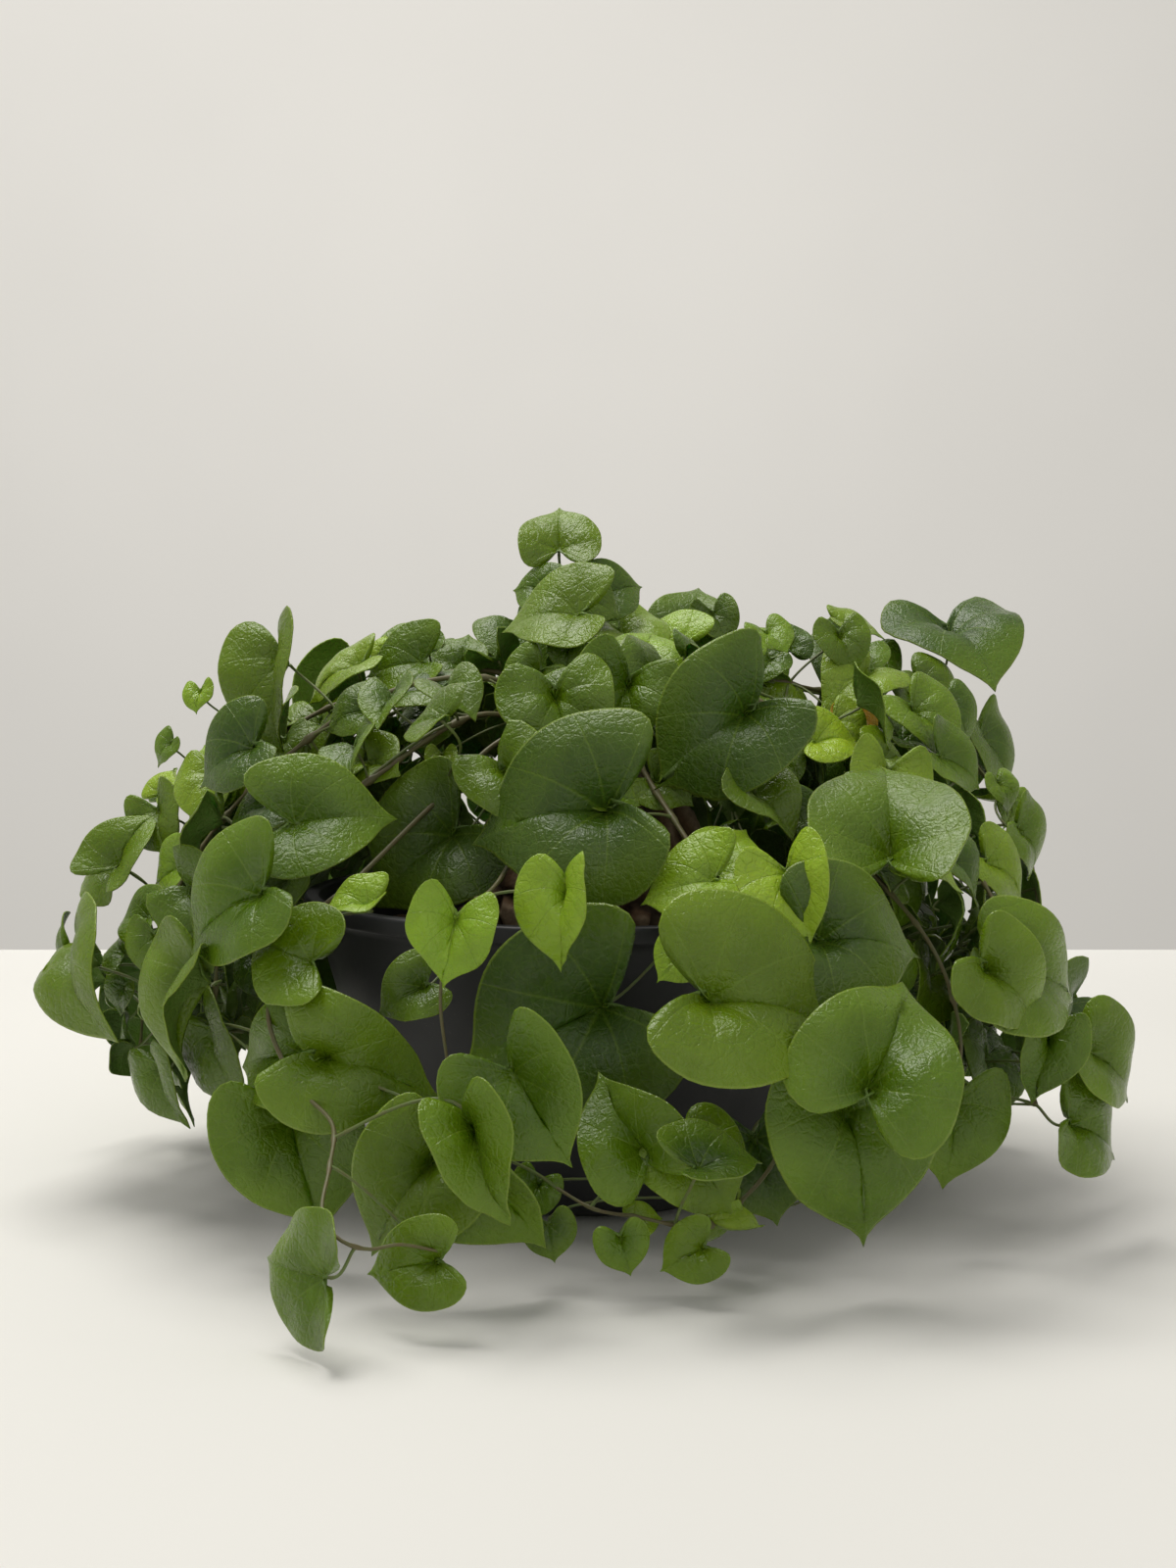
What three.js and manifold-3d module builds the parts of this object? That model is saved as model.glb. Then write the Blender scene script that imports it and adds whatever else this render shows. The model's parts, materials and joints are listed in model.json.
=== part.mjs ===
// Potted elephant foot plant (Dioscorea elephantipes), millimetres, +Z up.
// The origin is at the middle of the pot's foot, and the front faces -Y.
// A black bowl pot holds potting mix and a corky tuber, the caudex. Thin shoots climb out of the tuber's
// crown, arch over the rim and hang, and every leaf is a thin heart-shaped blade on its own stalk.
import * as THREE from 'three';
import { mergeVertices } from 'three/addons/utils/BufferGeometryUtils.js';
import Module from 'manifold-3d';

const wasm = await Module();
wasm.setup();

// Driving dimensions
const RIM_RADIUS = 82;
const POT_HEIGHT = 88;
const POT_WALL = 2.6;
const POT_FLOOR = 3;
const FOOT_RADIUS = 40;
const RIM_BAND = 5; // height of the rolled band round the rim
const RIM_LIP = 1.8; // how far the band stands out from the wall
const DRAIN_HOLES = 5;
const DRAIN_RADIUS = 4;
const DRAIN_CIRCLE = 24; // radius of the circle that the drainage holes sit on
const SOIL_DROP = 11; // from the rim down to the potting mix
const CAUDEX_RADIUS = 40;
const CAUDEX_HEIGHT = 50; // above the potting mix
const CAUDEX_SEAT = 12; // how deep the tuber sits in the mix
const CAUDEX_BULGE = 0.8; // how square the dome of the tuber is: 1 is a half ball
const CAUDEX_LOBES = 0.035; // how far its lobes stand out, as a share of its radius
const SOIL_EDGE_FALL = 4; // from the middle of the mix down to its edge
const STEM_RADIUS = 0.9;
const STALK_RADIUS = 0.6; // leaf stalk, three-sided
const KNOT_RADIUS = 3; // woody knot that a group of stems starts from
const BLADE = 0.8; // leaf thickness
const GAP = 0.3; // between pieces that touch
const SIMPLIFY = 0.03; // corners closer than this to a straight run are left out
const TABLE_CLEARANCE = 1.6; // lowest that a hanging leaf comes
const OWN_NODE_WIDTH = 26; // a leaf at least this wide is a piece of its own
const BACK_LEAVES = 76; // places tried for the leaves at the back and inside

// The tables of stems and leaves were drawn round a pot of this size, and they follow the pot's real size.
const DRAWN_RIM = 82;
const DRAWN_HEIGHT = 88;
const DRAWN_CROWN = 127;

const SOIL_TOP = POT_HEIGHT - SOIL_DROP;
const CROWN = SOIL_TOP + CAUDEX_HEIGHT;
const AROUND = 36; // segments round the pot
const DEGREE = Math.PI / 180;

// Each stem: the group that it belongs to and the points that it passes through, after its knot.
const STEMS = [
  ['front', [[-4, -28, 134], [-14, -50, 117], [-24, -76, 99], [-34, -98, 91], [-37, -111, 75],
    [-35, -113, 56]]],
  ['front', [[8, -30, 136], [20, -52, 119], [34, -77, 99], [44, -97, 88], [51, -107, 72], [53, -106, 50],
    [47, -104, 30], [35, -110, 19], [27, -120, 18], [12, -121, 21], [2, -118, 22], [-8, -112, 26]]],
  ['front', [[-22, -24, 135], [-44, -38, 116], [-63, -60, 98], [-76, -80, 87], [-83, -91, 68],
    [-74, -108, 52], [-63, -124, 45], [-62, -140, 38], [-62, -155, 31], [-57, -164, 27], [-51, -161, 24],
    [-44, -157, 24], [-35, -152, 21]]],
  ['left', [[-26, -6, 150], [-58, -12, 147], [-90, -20, 126], [-111, -28, 102], [-122, -30, 78],
    [-124, -26, 50]]],
  ['left', [[-24, 14, 151], [-56, 22, 149], [-92, 22, 134], [-116, 14, 112], [-129, 8, 90], [-132, 2, 66],
    [-133, -4, 42]]],
  ['left', [[-30, -20, 141], [-60, -36, 124], [-86, -48, 104], [-100, -56, 82], [-102, -60, 58]]],
  ['right', [[28, -6, 150], [62, -16, 138], [92, -28, 118], [110, -40, 96], [119, -50, 74], [123, -57, 52],
    [122, -60, 36]]],
  ['right', [[30, 12, 151], [66, 24, 147], [100, 34, 136], [122, 30, 120], [133, 16, 100], [135, 0, 78]]],
  ['right', [[26, -24, 141], [52, -46, 123], [76, -66, 101], [92, -80, 80], [98, -84, 58], [96, -80, 38]]],
  ['back', [[-5, 8, 148], [-9, 14, 162], [-4, 20, 170]]],
  ['back', [[14, 30, 149], [30, 66, 141], [44, 96, 116], [52, 112, 88], [54, 116, 56]]],
  ['back', [[-12, 32, 149], [-28, 66, 141], [-44, 96, 116], [-52, 110, 86], [-52, 112, 54]]],
  ['back', [[2, 36, 150], [2, 74, 139], [4, 104, 112], [4, 120, 82], [4, 122, 50]]],
  ['back', [[32, 26, 149], [66, 54, 137], [94, 76, 110], [104, 84, 80], [106, 84, 50]]],
  ['back', [[-32, 26, 149], [-66, 52, 135], [-94, 72, 108], [-102, 80, 78], [-104, 80, 48]]]
];

// Each leaf: where its stalk meets the blade (x, y, z), the way its upper face looks (azimuth from the front
// towards +X, elevation), the turn of its tip from straight down the slope, its width, how far its two halves
// are folded up, how far its tip curls down (degrees), and its age: Y young, M grown, D old and dark.
const LEAVES = {
  front: [
    [-27, -140, 47, -5, 22, 22, 34, 40, 30, 10, 'M'],
    [-18, -131, 59, 0, 20, 33, 38, 30, 5, 15, 'M'],
    [30, -128, 76, 5, 20, 80, 54, 5, 22, 20, 'M'],
    [66, -128, 56, 10, 20, 152, 46, 12, 18, 15, 'M'],
    [-33, -128, 37, -5, 20, 39, 46, 42, 5, 15, 'M'],
    [14, -118, 37, 5, 15, -152, 33, 10, 35, 10, 'M'],
    [64, -117, 46, 8, 25, 8, 46, 12, 12, 20, 'M'],
    [-37, -118, 36, -5, 25, -34, 38, 15, 20, 15, 'M'],
    [25, -116, 35, 5, 20, 37, 28, 10, 15, 10, 'M'],
    [24, -120, 39, 0, 55, 115, 26, 15, 25, 20, 'D'],
    [-33, -115, 94, -5, 30, -8, 25, 15, 25, 10, 'Y'],
    [-4, -112, 100, 0, 25, -8, 28, 50, 5, 10, 'Y'],
    [-62, -108, 90, -10, 30, -17, 21, 5, 50, 10, 'Y'],
    [25, -112, 86, -10, 30, -43, 16, 15, 15, 10, 'Y'],
    [-72, -112, 57, -15, 25, 78, 40, 25, 12, 25, 'M'],
    [62, -110, 89, 10, 25, 84, 42, 15, 15, 15, 'D'],
    [47, -95, 101, 0, 35, 15, 28, 35, 10, 10, 'Y'],
    [32, -90, 101, -10, 45, -75, 28, 10, 10, 15, 'Y'],
    [3, -90, 68, 0, 10, -65, 58, 8, 12, 5, 'D'],
    [-77, -97, 55, -20, 25, -86, 36, 15, 25, 20, 'M'],
    [-77, -90, 53, -15, 15, 19, 44, 10, 20, 10, 'M'],
    [-69, -97, 81, -15, 25, -105, 30, 15, 10, 15, 'M'],
    [-61, -95, 96, -10, 60, -80, 20, 30, 20, 10, 'Y'],
    [-42, -100, 75, -5, 20, -60, 20, 20, 15, 10, 'M'],
    [-101, -70, 71, -30, 15, -22, 42, 45, 10, 15, 'M'],
    [-78, -80, 94, -25, 30, -60, 40, 12, 18, 20, 'M'],
    [43, -97, 35, 0, 10, 15, 34, 12, 12, 10, 'D']
  ],
  right: [
    [100, -105, 80, 15, 20, 46, 31, 20, 20, 15, 'M'],
    [109, -95, 78, 25, 25, 75, 40, 20, 15, 15, 'M'],
    [100, -80, 39, 20, 20, -10, 32, 12, 12, 10, 'M'],
    [129, -72, 33, 30, 25, 60, 30, 15, 15, 15, 'M'],
    [122, -76, 57, 15, 15, -15, 25, 35, 25, 10, 'M'],
    [131, -65, 52, 35, 20, 48, 32, 15, 20, 15, 'M'],
    [80, -76, 106, 10, 30, 170, 50, 10, 32, 20, 'M'],
    [86, -70, 101, 10, 65, 75, 22, 20, 20, 15, 'Y'],
    [113, -30, 99, 35, 30, 50, 24, 15, 15, 15, 'D'],
    [125, -10, 106, 40, 25, 40, 24, 15, 15, 30, 'D'],
    [102, -15, 128, 30, 35, 60, 24, 15, 15, 15, 'M'],
    [63, -25, 131, 10, 45, 100, 22, 15, 15, 15, 'Y'],
    [109, 20, 141, 35, 35, 20, 20, 15, 15, 15, 'M'],
    [103, 35, 147, 30, 50, 40, 24, 15, 15, 15, 'M'],
    [112, 60, 157, 10, 76, 10, 46, 12, 8, 12, 'D']
  ],
  top: [
    [4, -62, 110, -5, 25, -80, 54, 8, 14, 10, 'D'],
    [34, -76, 102, 0, 30, 150, 23, 15, 15, 15, 'Y'],
    [31, -74, 101, -15, 30, -130, 21, 15, 15, 15, 'Y'],
    [39, -45, 135, -5, 30, -52, 46, 10, 25, 15, 'D'],
    [11, -35, 149, 0, 25, -23, 32, 20, 15, 20, 'M'],
    [39, -36, 135, 0, 15, 178, 14, 10, 10, 5, 'M'],
    [-9, -41, 146, -5, 30, 15, 34, 10, 20, 15, 'M'],
    [60, -18, 135, 0, 35, -150, 16, 15, 15, 15, 'Y'],
    [-14, -14, 152, -10, 25, -40, 20, 15, 15, 15, 'M'],
    [47, -6, 139, 5, 30, 140, 18, 15, 15, 15, 'M'],
    [-3, -5, 163, -5, 45, -95, 34, 12, 12, 20, 'M'],
    [16, 0, 151, 0, 35, 170, 24, 15, 15, 20, 'Y'],
    [-3, 9, 174, 5, 30, 70, 20, 12, 12, 15, 'M'],
    [46, 10, 151, 0, 30, -100, 18, 15, 15, 15, 'Y'],
    [-12, 14, 176, -15, 30, -100, 18, 15, 15, 15, 'M'],
    [-8, 20, 177, 0, 30, 180, 26, 12, 12, 15, 'M'],
    [4, 20, 178, 10, 25, 110, 22, 20, 15, 20, 'M'],
    [32, 50, 162, 0, 25, 170, 30, 12, 12, 15, 'D'],
    [63, 45, 158, 5, 25, 180, 16, 15, 15, 10, 'M']
  ],
  left: [
    [-79, -60, 113, -10, 25, 101, 38, 10, 15, 15, 'M'],
    [-84, -10, 152, -15, 25, 0, 40, 45, 5, 15, 'M'],
    [-94, -36, 132, -25, 30, -60, 30, 15, 15, 15, 'D'],
    [-85, -45, 116, -20, 60, -57, 26, 10, 10, 15, 'D'],
    [-44, -40, 114, -10, 20, -50, 44, 12, 12, 10, 'D'],
    [-34, -20, 142, 0, 10, 0, 20, 55, 55, 10, 'M'],
    [-138, -5, 96, -40, 20, 165, 27, 25, 15, 15, 'M'],
    [-141, 5, 94, -35, 25, -80, 27, 15, 20, 15, 'M'],
    [-45, -4, 144, -10, 75, -80, 32, 10, 10, 15, 'D'],
    [-48, 10, 151, -10, 35, -80, 26, 15, 15, 15, 'M'],
    [-45, 5, 136, -10, 55, -85, 26, 12, 12, 15, 'D'],
    [-122, -30, 83, -30, 35, -85, 19, 15, 15, 15, 'M'],
    [-120, -46, 80, -30, 20, 0, 18, 15, 15, 15, 'D'],
    [-134, -20, 71, -40, 25, -125, 15, 15, 15, 15, 'M'],
    [-135, -14, 61, -40, 10, -20, 14, 20, 20, 10, 'M'],
    [-130, 20, 115, -40, 25, 170, 13, 15, 15, 10, 'Y'],
    [-113, 15, 127, -30, 30, -120, 11, 15, 15, 10, 'Y'],
    [-50, 35, 158, -20, 25, -140, 15, 15, 15, 10, 'M'],
    [-40, 30, 157, -10, 25, 180, 18, 15, 15, 10, 'M'],
    [-63, 30, 158, -10, 20, 180, 8, 10, 10, 5, 'Y']
  ],
  low: [
    [-60, -167, 19, -38, 8, -92, 32, 6, 6, 8, 'M'],
    [-37, -153, 17, 0, 15, -80, 24, 20, 15, 15, 'M'],
    [28, -125, 14, 0, 20, -62, 17, 15, 10, 10, 'M'],
    [8, -126, 17, 0, 15, 15, 14, 10, 10, 10, 'M'],
    [-10, -114, 17, 0, 15, 10, 14, 10, 10, 10, 'D'],
    [-13, -112, 25, 0, 25, -20, 14, 15, 15, 10, 'M'],
    [12, -118, 19, 0, 35, 100, 10, 10, 10, 10, 'M'],
    [40, -100, 19, 0, 50, -90, 10, 10, 10, 10, 'Y']
  ],
  crest: [
    [-20, 40, 158, -10, 50, 30, 30, 15, 12, 15, 'M'],
    [14, 62, 157, 10, 50, -40, 32, 12, 15, 15, 'M'],
    [50, 70, 154, 15, 55, 20, 30, 15, 15, 20, 'D'],
    [84, 58, 152, 25, 50, -30, 32, 15, 12, 15, 'M'],
    [-52, 55, 151, -20, 50, -20, 30, 12, 15, 15, 'M'],
    [-88, 32, 140, -45, 50, 20, 28, 15, 15, 15, 'M'],
    [84, 20, 150, 20, 55, -60, 28, 15, 12, 15, 'M'],
    [60, 20, 151, 5, 60, 60, 26, 12, 15, 15, 'M'],
    [28, 26, 160, 0, 55, -120, 26, 15, 15, 15, 'Y'],
    [96, 0, 140, 25, 45, 30, 28, 15, 15, 15, 'M'],
    [84, -34, 124, 20, 40, -20, 26, 12, 15, 15, 'D'],
    [-66, 8, 150, -30, 60, -50, 26, 15, 12, 15, 'M'],
    [-108, -12, 122, -40, 40, 15, 26, 15, 15, 15, 'D'],
    [-112, 18, 118, -50, 40, -30, 28, 12, 15, 15, 'M'],
    [118, 36, 128, 50, 35, 20, 28, 15, 12, 15, 'M'],
    [70, -52, 116, 5, 40, 20, 28, 15, 15, 15, 'D'],
    [10, 20, 158, 0, 70, 40, 28, 12, 12, 15, 'M'],
    [0, 92, 140, 180, 45, 10, 32, 15, 12, 15, 'M'],
    [38, 96, 138, 160, 40, -20, 30, 15, 12, 15, 'M'],
    [-38, 94, 138, 200, 40, 20, 32, 12, 15, 15, 'M'],
    [-99, -10, 140, -30, 55, 20, 18, 15, 12, 15, 'M'],
    [-123, 0, 131, -40, 30, -30, 12, 15, 15, 10, 'M'],
    [-127, 0, 111, -40, 25, 30, 22, 15, 12, 15, 'M'],
    [-116, -20, 97, -35, 20, -60, 20, 25, 20, 10, 'Y'],
    [-116, 10, 146, -30, 40, 10, 11, 15, 15, 10, 'Y'],
    [-42, -20, 129, -10, 30, 0, 10, 15, 15, 10, 'D'],
    [55, 30, 163, 5, 60, 30, 16, 12, 15, 10, 'M'],
    [55, 20, 155, 10, 45, -30, 14, 15, 15, 10, 'M'],
    [54, -30, 128, 5, 25, 15, 15, 15, 12, 10, 'D'],
    [70, 20, 154, 15, 35, 10, 19, 15, 15, 15, 'D'],
    [84, 30, 157, 15, 50, -20, 18, 15, 12, 10, 'M'],
    [84, 10, 144, 20, 40, 25, 16, 12, 15, 10, 'M'],
    [80, 40, 165, 10, 72, 80, 19, 15, 12, 15, 'M'],
    [98, 20, 144, 30, 35, 0, 16, 15, 15, 15, 'D'],
    [93, 0, 132, 25, 60, 70, 20, 12, 15, 15, 'M'],
    [121, 0, 119, 40, 30, 10, 14, 15, 15, 10, 'M'],
    [126, 10, 114, 45, 20, -20, 14, 20, 15, 15, 'D'],
    [81, -60, 107, 10, 70, -60, 20, 12, 15, 10, 'M'],
    [72, 10, 145, 20, 30, 40, 11, 30, 25, 30, 'Y'],
    [-6, -10, 161, -5, 30, 0, 12, 15, 15, 10, 'M'],
    [39, 40, 169, 5, 35, 20, 16, 15, 12, 10, 'M'],
    [-70, 10, 156, -20, 45, 30, 20, 15, 12, 15, 'M'],
    [-98, 10, 142, -35, 45, -20, 18, 12, 15, 15, 'M'],
    [-62, -20, 140, -15, 40, -70, 20, 15, 15, 10, 'D'],
    [20, -48, 128, 0, 30, 60, 18, 15, 12, 10, 'M'],
    [72, -8, 138, 15, 45, 30, 18, 12, 15, 10, 'M']
  ]
};

// One half of a leaf's outline, from the notch round to the tip, as shares of its width.
const HALF_LEAF = [[0.12, -0.15], [0.33, -0.22], [0.5, -0.03], [0.46, 0.24], [0.25, 0.5]];
const LEAF_TIP = [0, 0.7];

const COLOURS = {
  pot: 0x26262a, soil: 0x3b2c1f, caudex: 0x8a6a47, stem: 0x6b7a3a, Y: 0x8fb03c, M: 0x55802b, D: 0x2f5530
};

// ---------- solids ----------

function toSolid(geometry) {
  const bare = geometry.clone();
  bare.deleteAttribute('normal');
  bare.deleteAttribute('uv');
  const merged = mergeVertices(bare, 1e-3);
  const corners = Array.from(merged.index.array);
  const kept = [];
  for (let i = 0; i < corners.length; i += 3) {
    const [a, b, c] = corners.slice(i, i + 3);
    if (a !== b && b !== c && c !== a) kept.push(a, b, c);
  }
  return new wasm.Manifold(new wasm.Mesh({
    numProp: 3,
    vertProperties: merged.attributes.position.array,
    triVerts: new Uint32Array(kept)
  }));
}

function toGeometry(solid) {
  const mesh = solid.getMesh();
  const geometry = new THREE.BufferGeometry();
  geometry.setAttribute('position', new THREE.BufferAttribute(new Float32Array(mesh.vertProperties), 3));
  geometry.setIndex(new THREE.BufferAttribute(new Uint32Array(mesh.triVerts), 1));
  geometry.computeVertexNormals();
  return geometry;
}

function boxesMeet(first, second) {
  const a = first.boundingBox();
  const b = second.boundingBox();
  return [0, 1, 2].every((i) => a.min[i] < b.max[i] && b.min[i] < a.max[i]);
}

function touch(first, second) {
  return boxesMeet(first, second) && !first.intersect(second).isEmpty();
}

function material(colour, roughness) {
  return new THREE.MeshStandardMaterial({ color: colour, roughness, metalness: 0 });
}

// ---------- pot, potting mix and caudex ----------

// The bowl's wall widens quickly above the foot and stands almost upright at the rim.
function bowlRadius(height) {
  return FOOT_RADIUS + (RIM_RADIUS - FOOT_RADIUS) * Math.sqrt(height / POT_HEIGHT);
}

const WALL_HEIGHTS = [0.03, 0.09, 0.2, 0.36, 0.56, 0.78];

function makePot() {
  const profile = [[0, 0], [FOOT_RADIUS, 0]];
  const bandFoot = POT_HEIGHT - RIM_BAND;
  for (const share of WALL_HEIGHTS) profile.push([bowlRadius(share * POT_HEIGHT), share * POT_HEIGHT]);
  profile.push([bowlRadius(bandFoot), bandFoot], [RIM_RADIUS + RIM_LIP, bandFoot + 1]);
  profile.push([RIM_RADIUS + RIM_LIP, POT_HEIGHT - 1], [RIM_RADIUS + RIM_LIP - 1, POT_HEIGHT]);
  profile.push([RIM_RADIUS - POT_WALL, POT_HEIGHT]);
  for (const share of WALL_HEIGHTS.slice().reverse()) {
    const height = POT_FLOOR + share * (POT_HEIGHT - POT_FLOOR);
    profile.push([bowlRadius(share * POT_HEIGHT) - POT_WALL, height]);
  }
  profile.push([FOOT_RADIUS - POT_WALL, POT_FLOOR], [0, POT_FLOOR]);
  const points = profile.map(([radius, height]) => new THREE.Vector2(radius, height));
  let pot = toSolid(lathe(points, AROUND));
  for (let hole = 0; hole < DRAIN_HOLES; hole += 1) {
    const turn = (hole / DRAIN_HOLES) * 2 * Math.PI;
    const drill = new THREE.CylinderGeometry(DRAIN_RADIUS, DRAIN_RADIUS, 4 * POT_FLOOR, 12);
    drill.rotateX(Math.PI / 2);
    drill.translate(DRAIN_CIRCLE * Math.cos(turn), DRAIN_CIRCLE * Math.sin(turn), 0);
    pot = pot.subtract(toSolid(drill));
  }
  return pot;
}

// three.js turns a lathe about Y, and this part stands along Z.
function lathe(points, segments) {
  const geometry = new THREE.LatheGeometry(points, segments);
  geometry.rotateX(Math.PI / 2);
  return geometry;
}

// The tuber is a squat dome with shallow lobes, swollen by `grow` where the mix is cut out for it.
function makeCaudex(grow) {
  const points = [];
  const bottom = SOIL_TOP - CAUDEX_SEAT - grow;
  const steps = 9;
  points.push(new THREE.Vector2(0, bottom), new THREE.Vector2(CAUDEX_RADIUS * CAUDEX_BULGE + grow, bottom));
  for (let step = 0; step < steps; step += 1) {
    const angle = (step / steps) * 90 * DEGREE;
    const height = SOIL_TOP + (CAUDEX_HEIGHT + grow) * Math.sin(angle) ** 1.15;
    points.push(new THREE.Vector2((CAUDEX_RADIUS + grow) * Math.cos(angle) ** CAUDEX_BULGE, height));
  }
  points.push(new THREE.Vector2(0, CROWN + grow));
  const geometry = lathe(points, 28);
  const position = geometry.attributes.position;
  for (let i = 0; i < position.count; i += 1) {
    const around = Math.atan2(position.getY(i), position.getX(i));
    const lobe = 1 + CAUDEX_LOBES * (Math.cos(5 * around + 0.6) + 0.6 * Math.cos(3 * around));
    position.setXY(i, position.getX(i) * lobe, position.getY(i) * lobe);
  }
  return toSolid(geometry);
}

function innerRadius(height) {
  return bowlRadius((height - POT_FLOOR) * POT_HEIGHT / (POT_HEIGHT - POT_FLOOR)) - POT_WALL;
}

// The mix follows the inside of the bowl, falls a little towards its edge and is cut out for the tuber.
function makeSoil() {
  const clear = GAP + 0.6; // keeps the flat stretches of one lathe out of the other
  const edgeHeight = SOIL_TOP - SOIL_EDGE_FALL;
  const edge = innerRadius(edgeHeight) - clear;
  const points = [new THREE.Vector2(0, POT_FLOOR + GAP)];
  points.push(new THREE.Vector2(FOOT_RADIUS - POT_WALL - clear, POT_FLOOR + GAP));
  for (const share of WALL_HEIGHTS) {
    const height = POT_FLOOR + share * (POT_HEIGHT - POT_FLOOR) + GAP;
    if (height < edgeHeight - 2) points.push(new THREE.Vector2(innerRadius(height - GAP) - clear, height));
  }
  points.push(new THREE.Vector2(edge, edgeHeight));
  points.push(new THREE.Vector2(edge - 6, SOIL_TOP - SOIL_EDGE_FALL / 2));
  points.push(new THREE.Vector2(CAUDEX_RADIUS + 8, SOIL_TOP), new THREE.Vector2(0, SOIL_TOP + 1));
  return toSolid(lathe(points, AROUND)).subtract(makeCaudex(GAP)).simplify(SIMPLIFY);
}

// ---------- stems ----------

// Moves a drawn place to where it belongs on a pot and a tuber of the present sizes.
function placed(x, y, z) {
  const spread = RIM_RADIUS / DRAWN_RIM;
  const nearCrown = Math.max(0, 1 - Math.hypot(x, y) / DRAWN_RIM);
  const lift = (CROWN - DRAWN_CROWN - (POT_HEIGHT - DRAWN_HEIGHT)) * nearCrown;
  const height = z < DRAWN_HEIGHT ? (z * POT_HEIGHT) / DRAWN_HEIGHT : z + POT_HEIGHT - DRAWN_HEIGHT;
  return new THREE.Vector3(x * spread, y * spread, height + lift);
}

function tube(curve, radius, sides, steps) {
  const shape = new THREE.Shape();
  for (let i = 0; i < sides; i += 1) {
    const angle = (i / sides) * 2 * Math.PI;
    if (i === 0) shape.moveTo(radius, 0);
    else shape.lineTo(radius * Math.cos(angle), radius * Math.sin(angle));
  }
  return toSolid(new THREE.ExtrudeGeometry(shape, { steps, bevelEnabled: false, extrudePath: curve }));
}

const KNOT_PLACES = { front: [0, -5.2], left: [-5.2, 0], right: [5.2, 0], back: [0, 5.2] };

function knotPlace(group) {
  const [x, y] = KNOT_PLACES[group];
  return new THREE.Vector3(x, y, CROWN + KNOT_RADIUS + GAP);
}

function growStems() {
  const shoots = {};
  const nodes = [];
  for (const group of Object.keys(KNOT_PLACES)) {
    const knot = new THREE.IcosahedronGeometry(KNOT_RADIUS, 1);
    knot.translate(...knotPlace(group).toArray());
    shoots[group] = toSolid(knot);
  }
  for (const [group, places] of STEMS) {
    const points = [knotPlace(group), ...places.map(([x, y, z]) => placed(x, y, z))];
    const curve = new THREE.CatmullRomCurve3(points, false, 'centripetal');
    const steps = Math.round(curve.getLength() / 11);
    shoots[group] = shoots[group].add(tube(curve, STEM_RADIUS, 4, steps));
    for (let step = 2; step <= steps; step += 1) nodes.push({ group, point: curve.getPointAt(step / steps) });
  }
  return { shoots, nodes };
}

// ---------- leaves ----------

function leafFrame(row) {
  const [x, y, z, azimuth, elevation, turn] = row;
  const az = azimuth * DEGREE;
  const el = elevation * DEGREE;
  const normal = new THREE.Vector3(Math.sin(az) * Math.cos(el), -Math.cos(az) * Math.cos(el), Math.sin(el));
  const down = new THREE.Vector3(Math.sin(el) * Math.sin(az), -Math.sin(el) * Math.cos(az), -Math.cos(el));
  const across = new THREE.Vector3().crossVectors(normal, down);
  const tip = down.multiplyScalar(Math.cos(turn * DEGREE)).addScaledVector(across, Math.sin(turn * DEGREE));
  const side = new THREE.Vector3().crossVectors(tip, normal);
  const frame = new THREE.Matrix4().makeBasis(side, tip, normal);
  return { frame, base: placed(x, y, z), normal, tip };
}

// The rim of a blade in its own frame: the halves fold up about the midrib, and the tip curls down.
function bladeRim(row) {
  const [width, foldLeft, foldRight, curl] = row.slice(6);
  const outline = HALF_LEAF.map(([u, v]) => [-u, v]);
  outline.push(LEAF_TIP, ...HALF_LEAF.slice().reverse());
  return outline.map(([u, v]) => {
    const fold = (u < 0 ? foldLeft : foldRight) * DEGREE;
    const drop = Math.tan(curl * DEGREE) * Math.max(0, v) ** 2;
    const face = new THREE.Vector3(-Math.sign(u) * Math.sin(fold), 0, Math.cos(fold));
    const point = new THREE.Vector3(u * Math.cos(fold), v, Math.abs(u) * Math.sin(fold) - drop);
    return { point: point.multiplyScalar(width), face };
  });
}

// A blade is one thin closed solid. Its upper face is a fan from the point where the stalk meets it.
function makeBlade(row, thickness, base, frame) {
  const rim = bladeRim(row);
  const count = rim.length;
  const raise = (thickness - BLADE) / 2;
  const sheet = (lift) => [
    new THREE.Vector3(0, 0, lift),
    ...rim.map(({ point, face }) => point.clone().addScaledVector(face, lift))
  ];
  const top = sheet(raise);
  const under = sheet(raise - thickness);
  const corners = [...top, ...under];
  const faces = [];
  for (let i = 1; i < count; i += 1) faces.push([0, i + 1, i]);
  const low = count + 1;
  const tip = (count + 1) / 2;
  const lower = [[0, 1, 2], [0, 2, 3], [0, 3, tip], [3, 4, tip], [4, 5, tip]];
  const mirrored = (corner) => (corner === 0 || corner === tip ? corner : count + 1 - corner);
  for (const [a, b, c] of lower) {
    faces.push([low + a, low + b, low + c]);
    const [d, e, f] = [a, b, c].map(mirrored);
    faces.push([low + d, low + f, low + e]);
  }
  for (let i = 0; i <= count; i += 1) {
    const next = (i + 1) % (count + 1);
    faces.push([i, next, low + next], [i, low + next, low + i]);
  }
  const place = frame.clone().setPosition(base);
  const positions = corners.flatMap((corner) => corner.applyMatrix4(place).toArray());
  return new wasm.Manifold(new wasm.Mesh({
    numProp: 3,
    vertProperties: new Float32Array(positions),
    triVerts: new Uint32Array(faces.flat())
  }));
}

// ---------- putting the plant together ----------

const HEART = new THREE.Vector3(0, 0, 0.7 * POT_HEIGHT); // the middle that the foliage grows out from
const NUDGE = 1.5; // a leaf that would touch another moves by steps of this
const NUDGES = 10;

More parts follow.
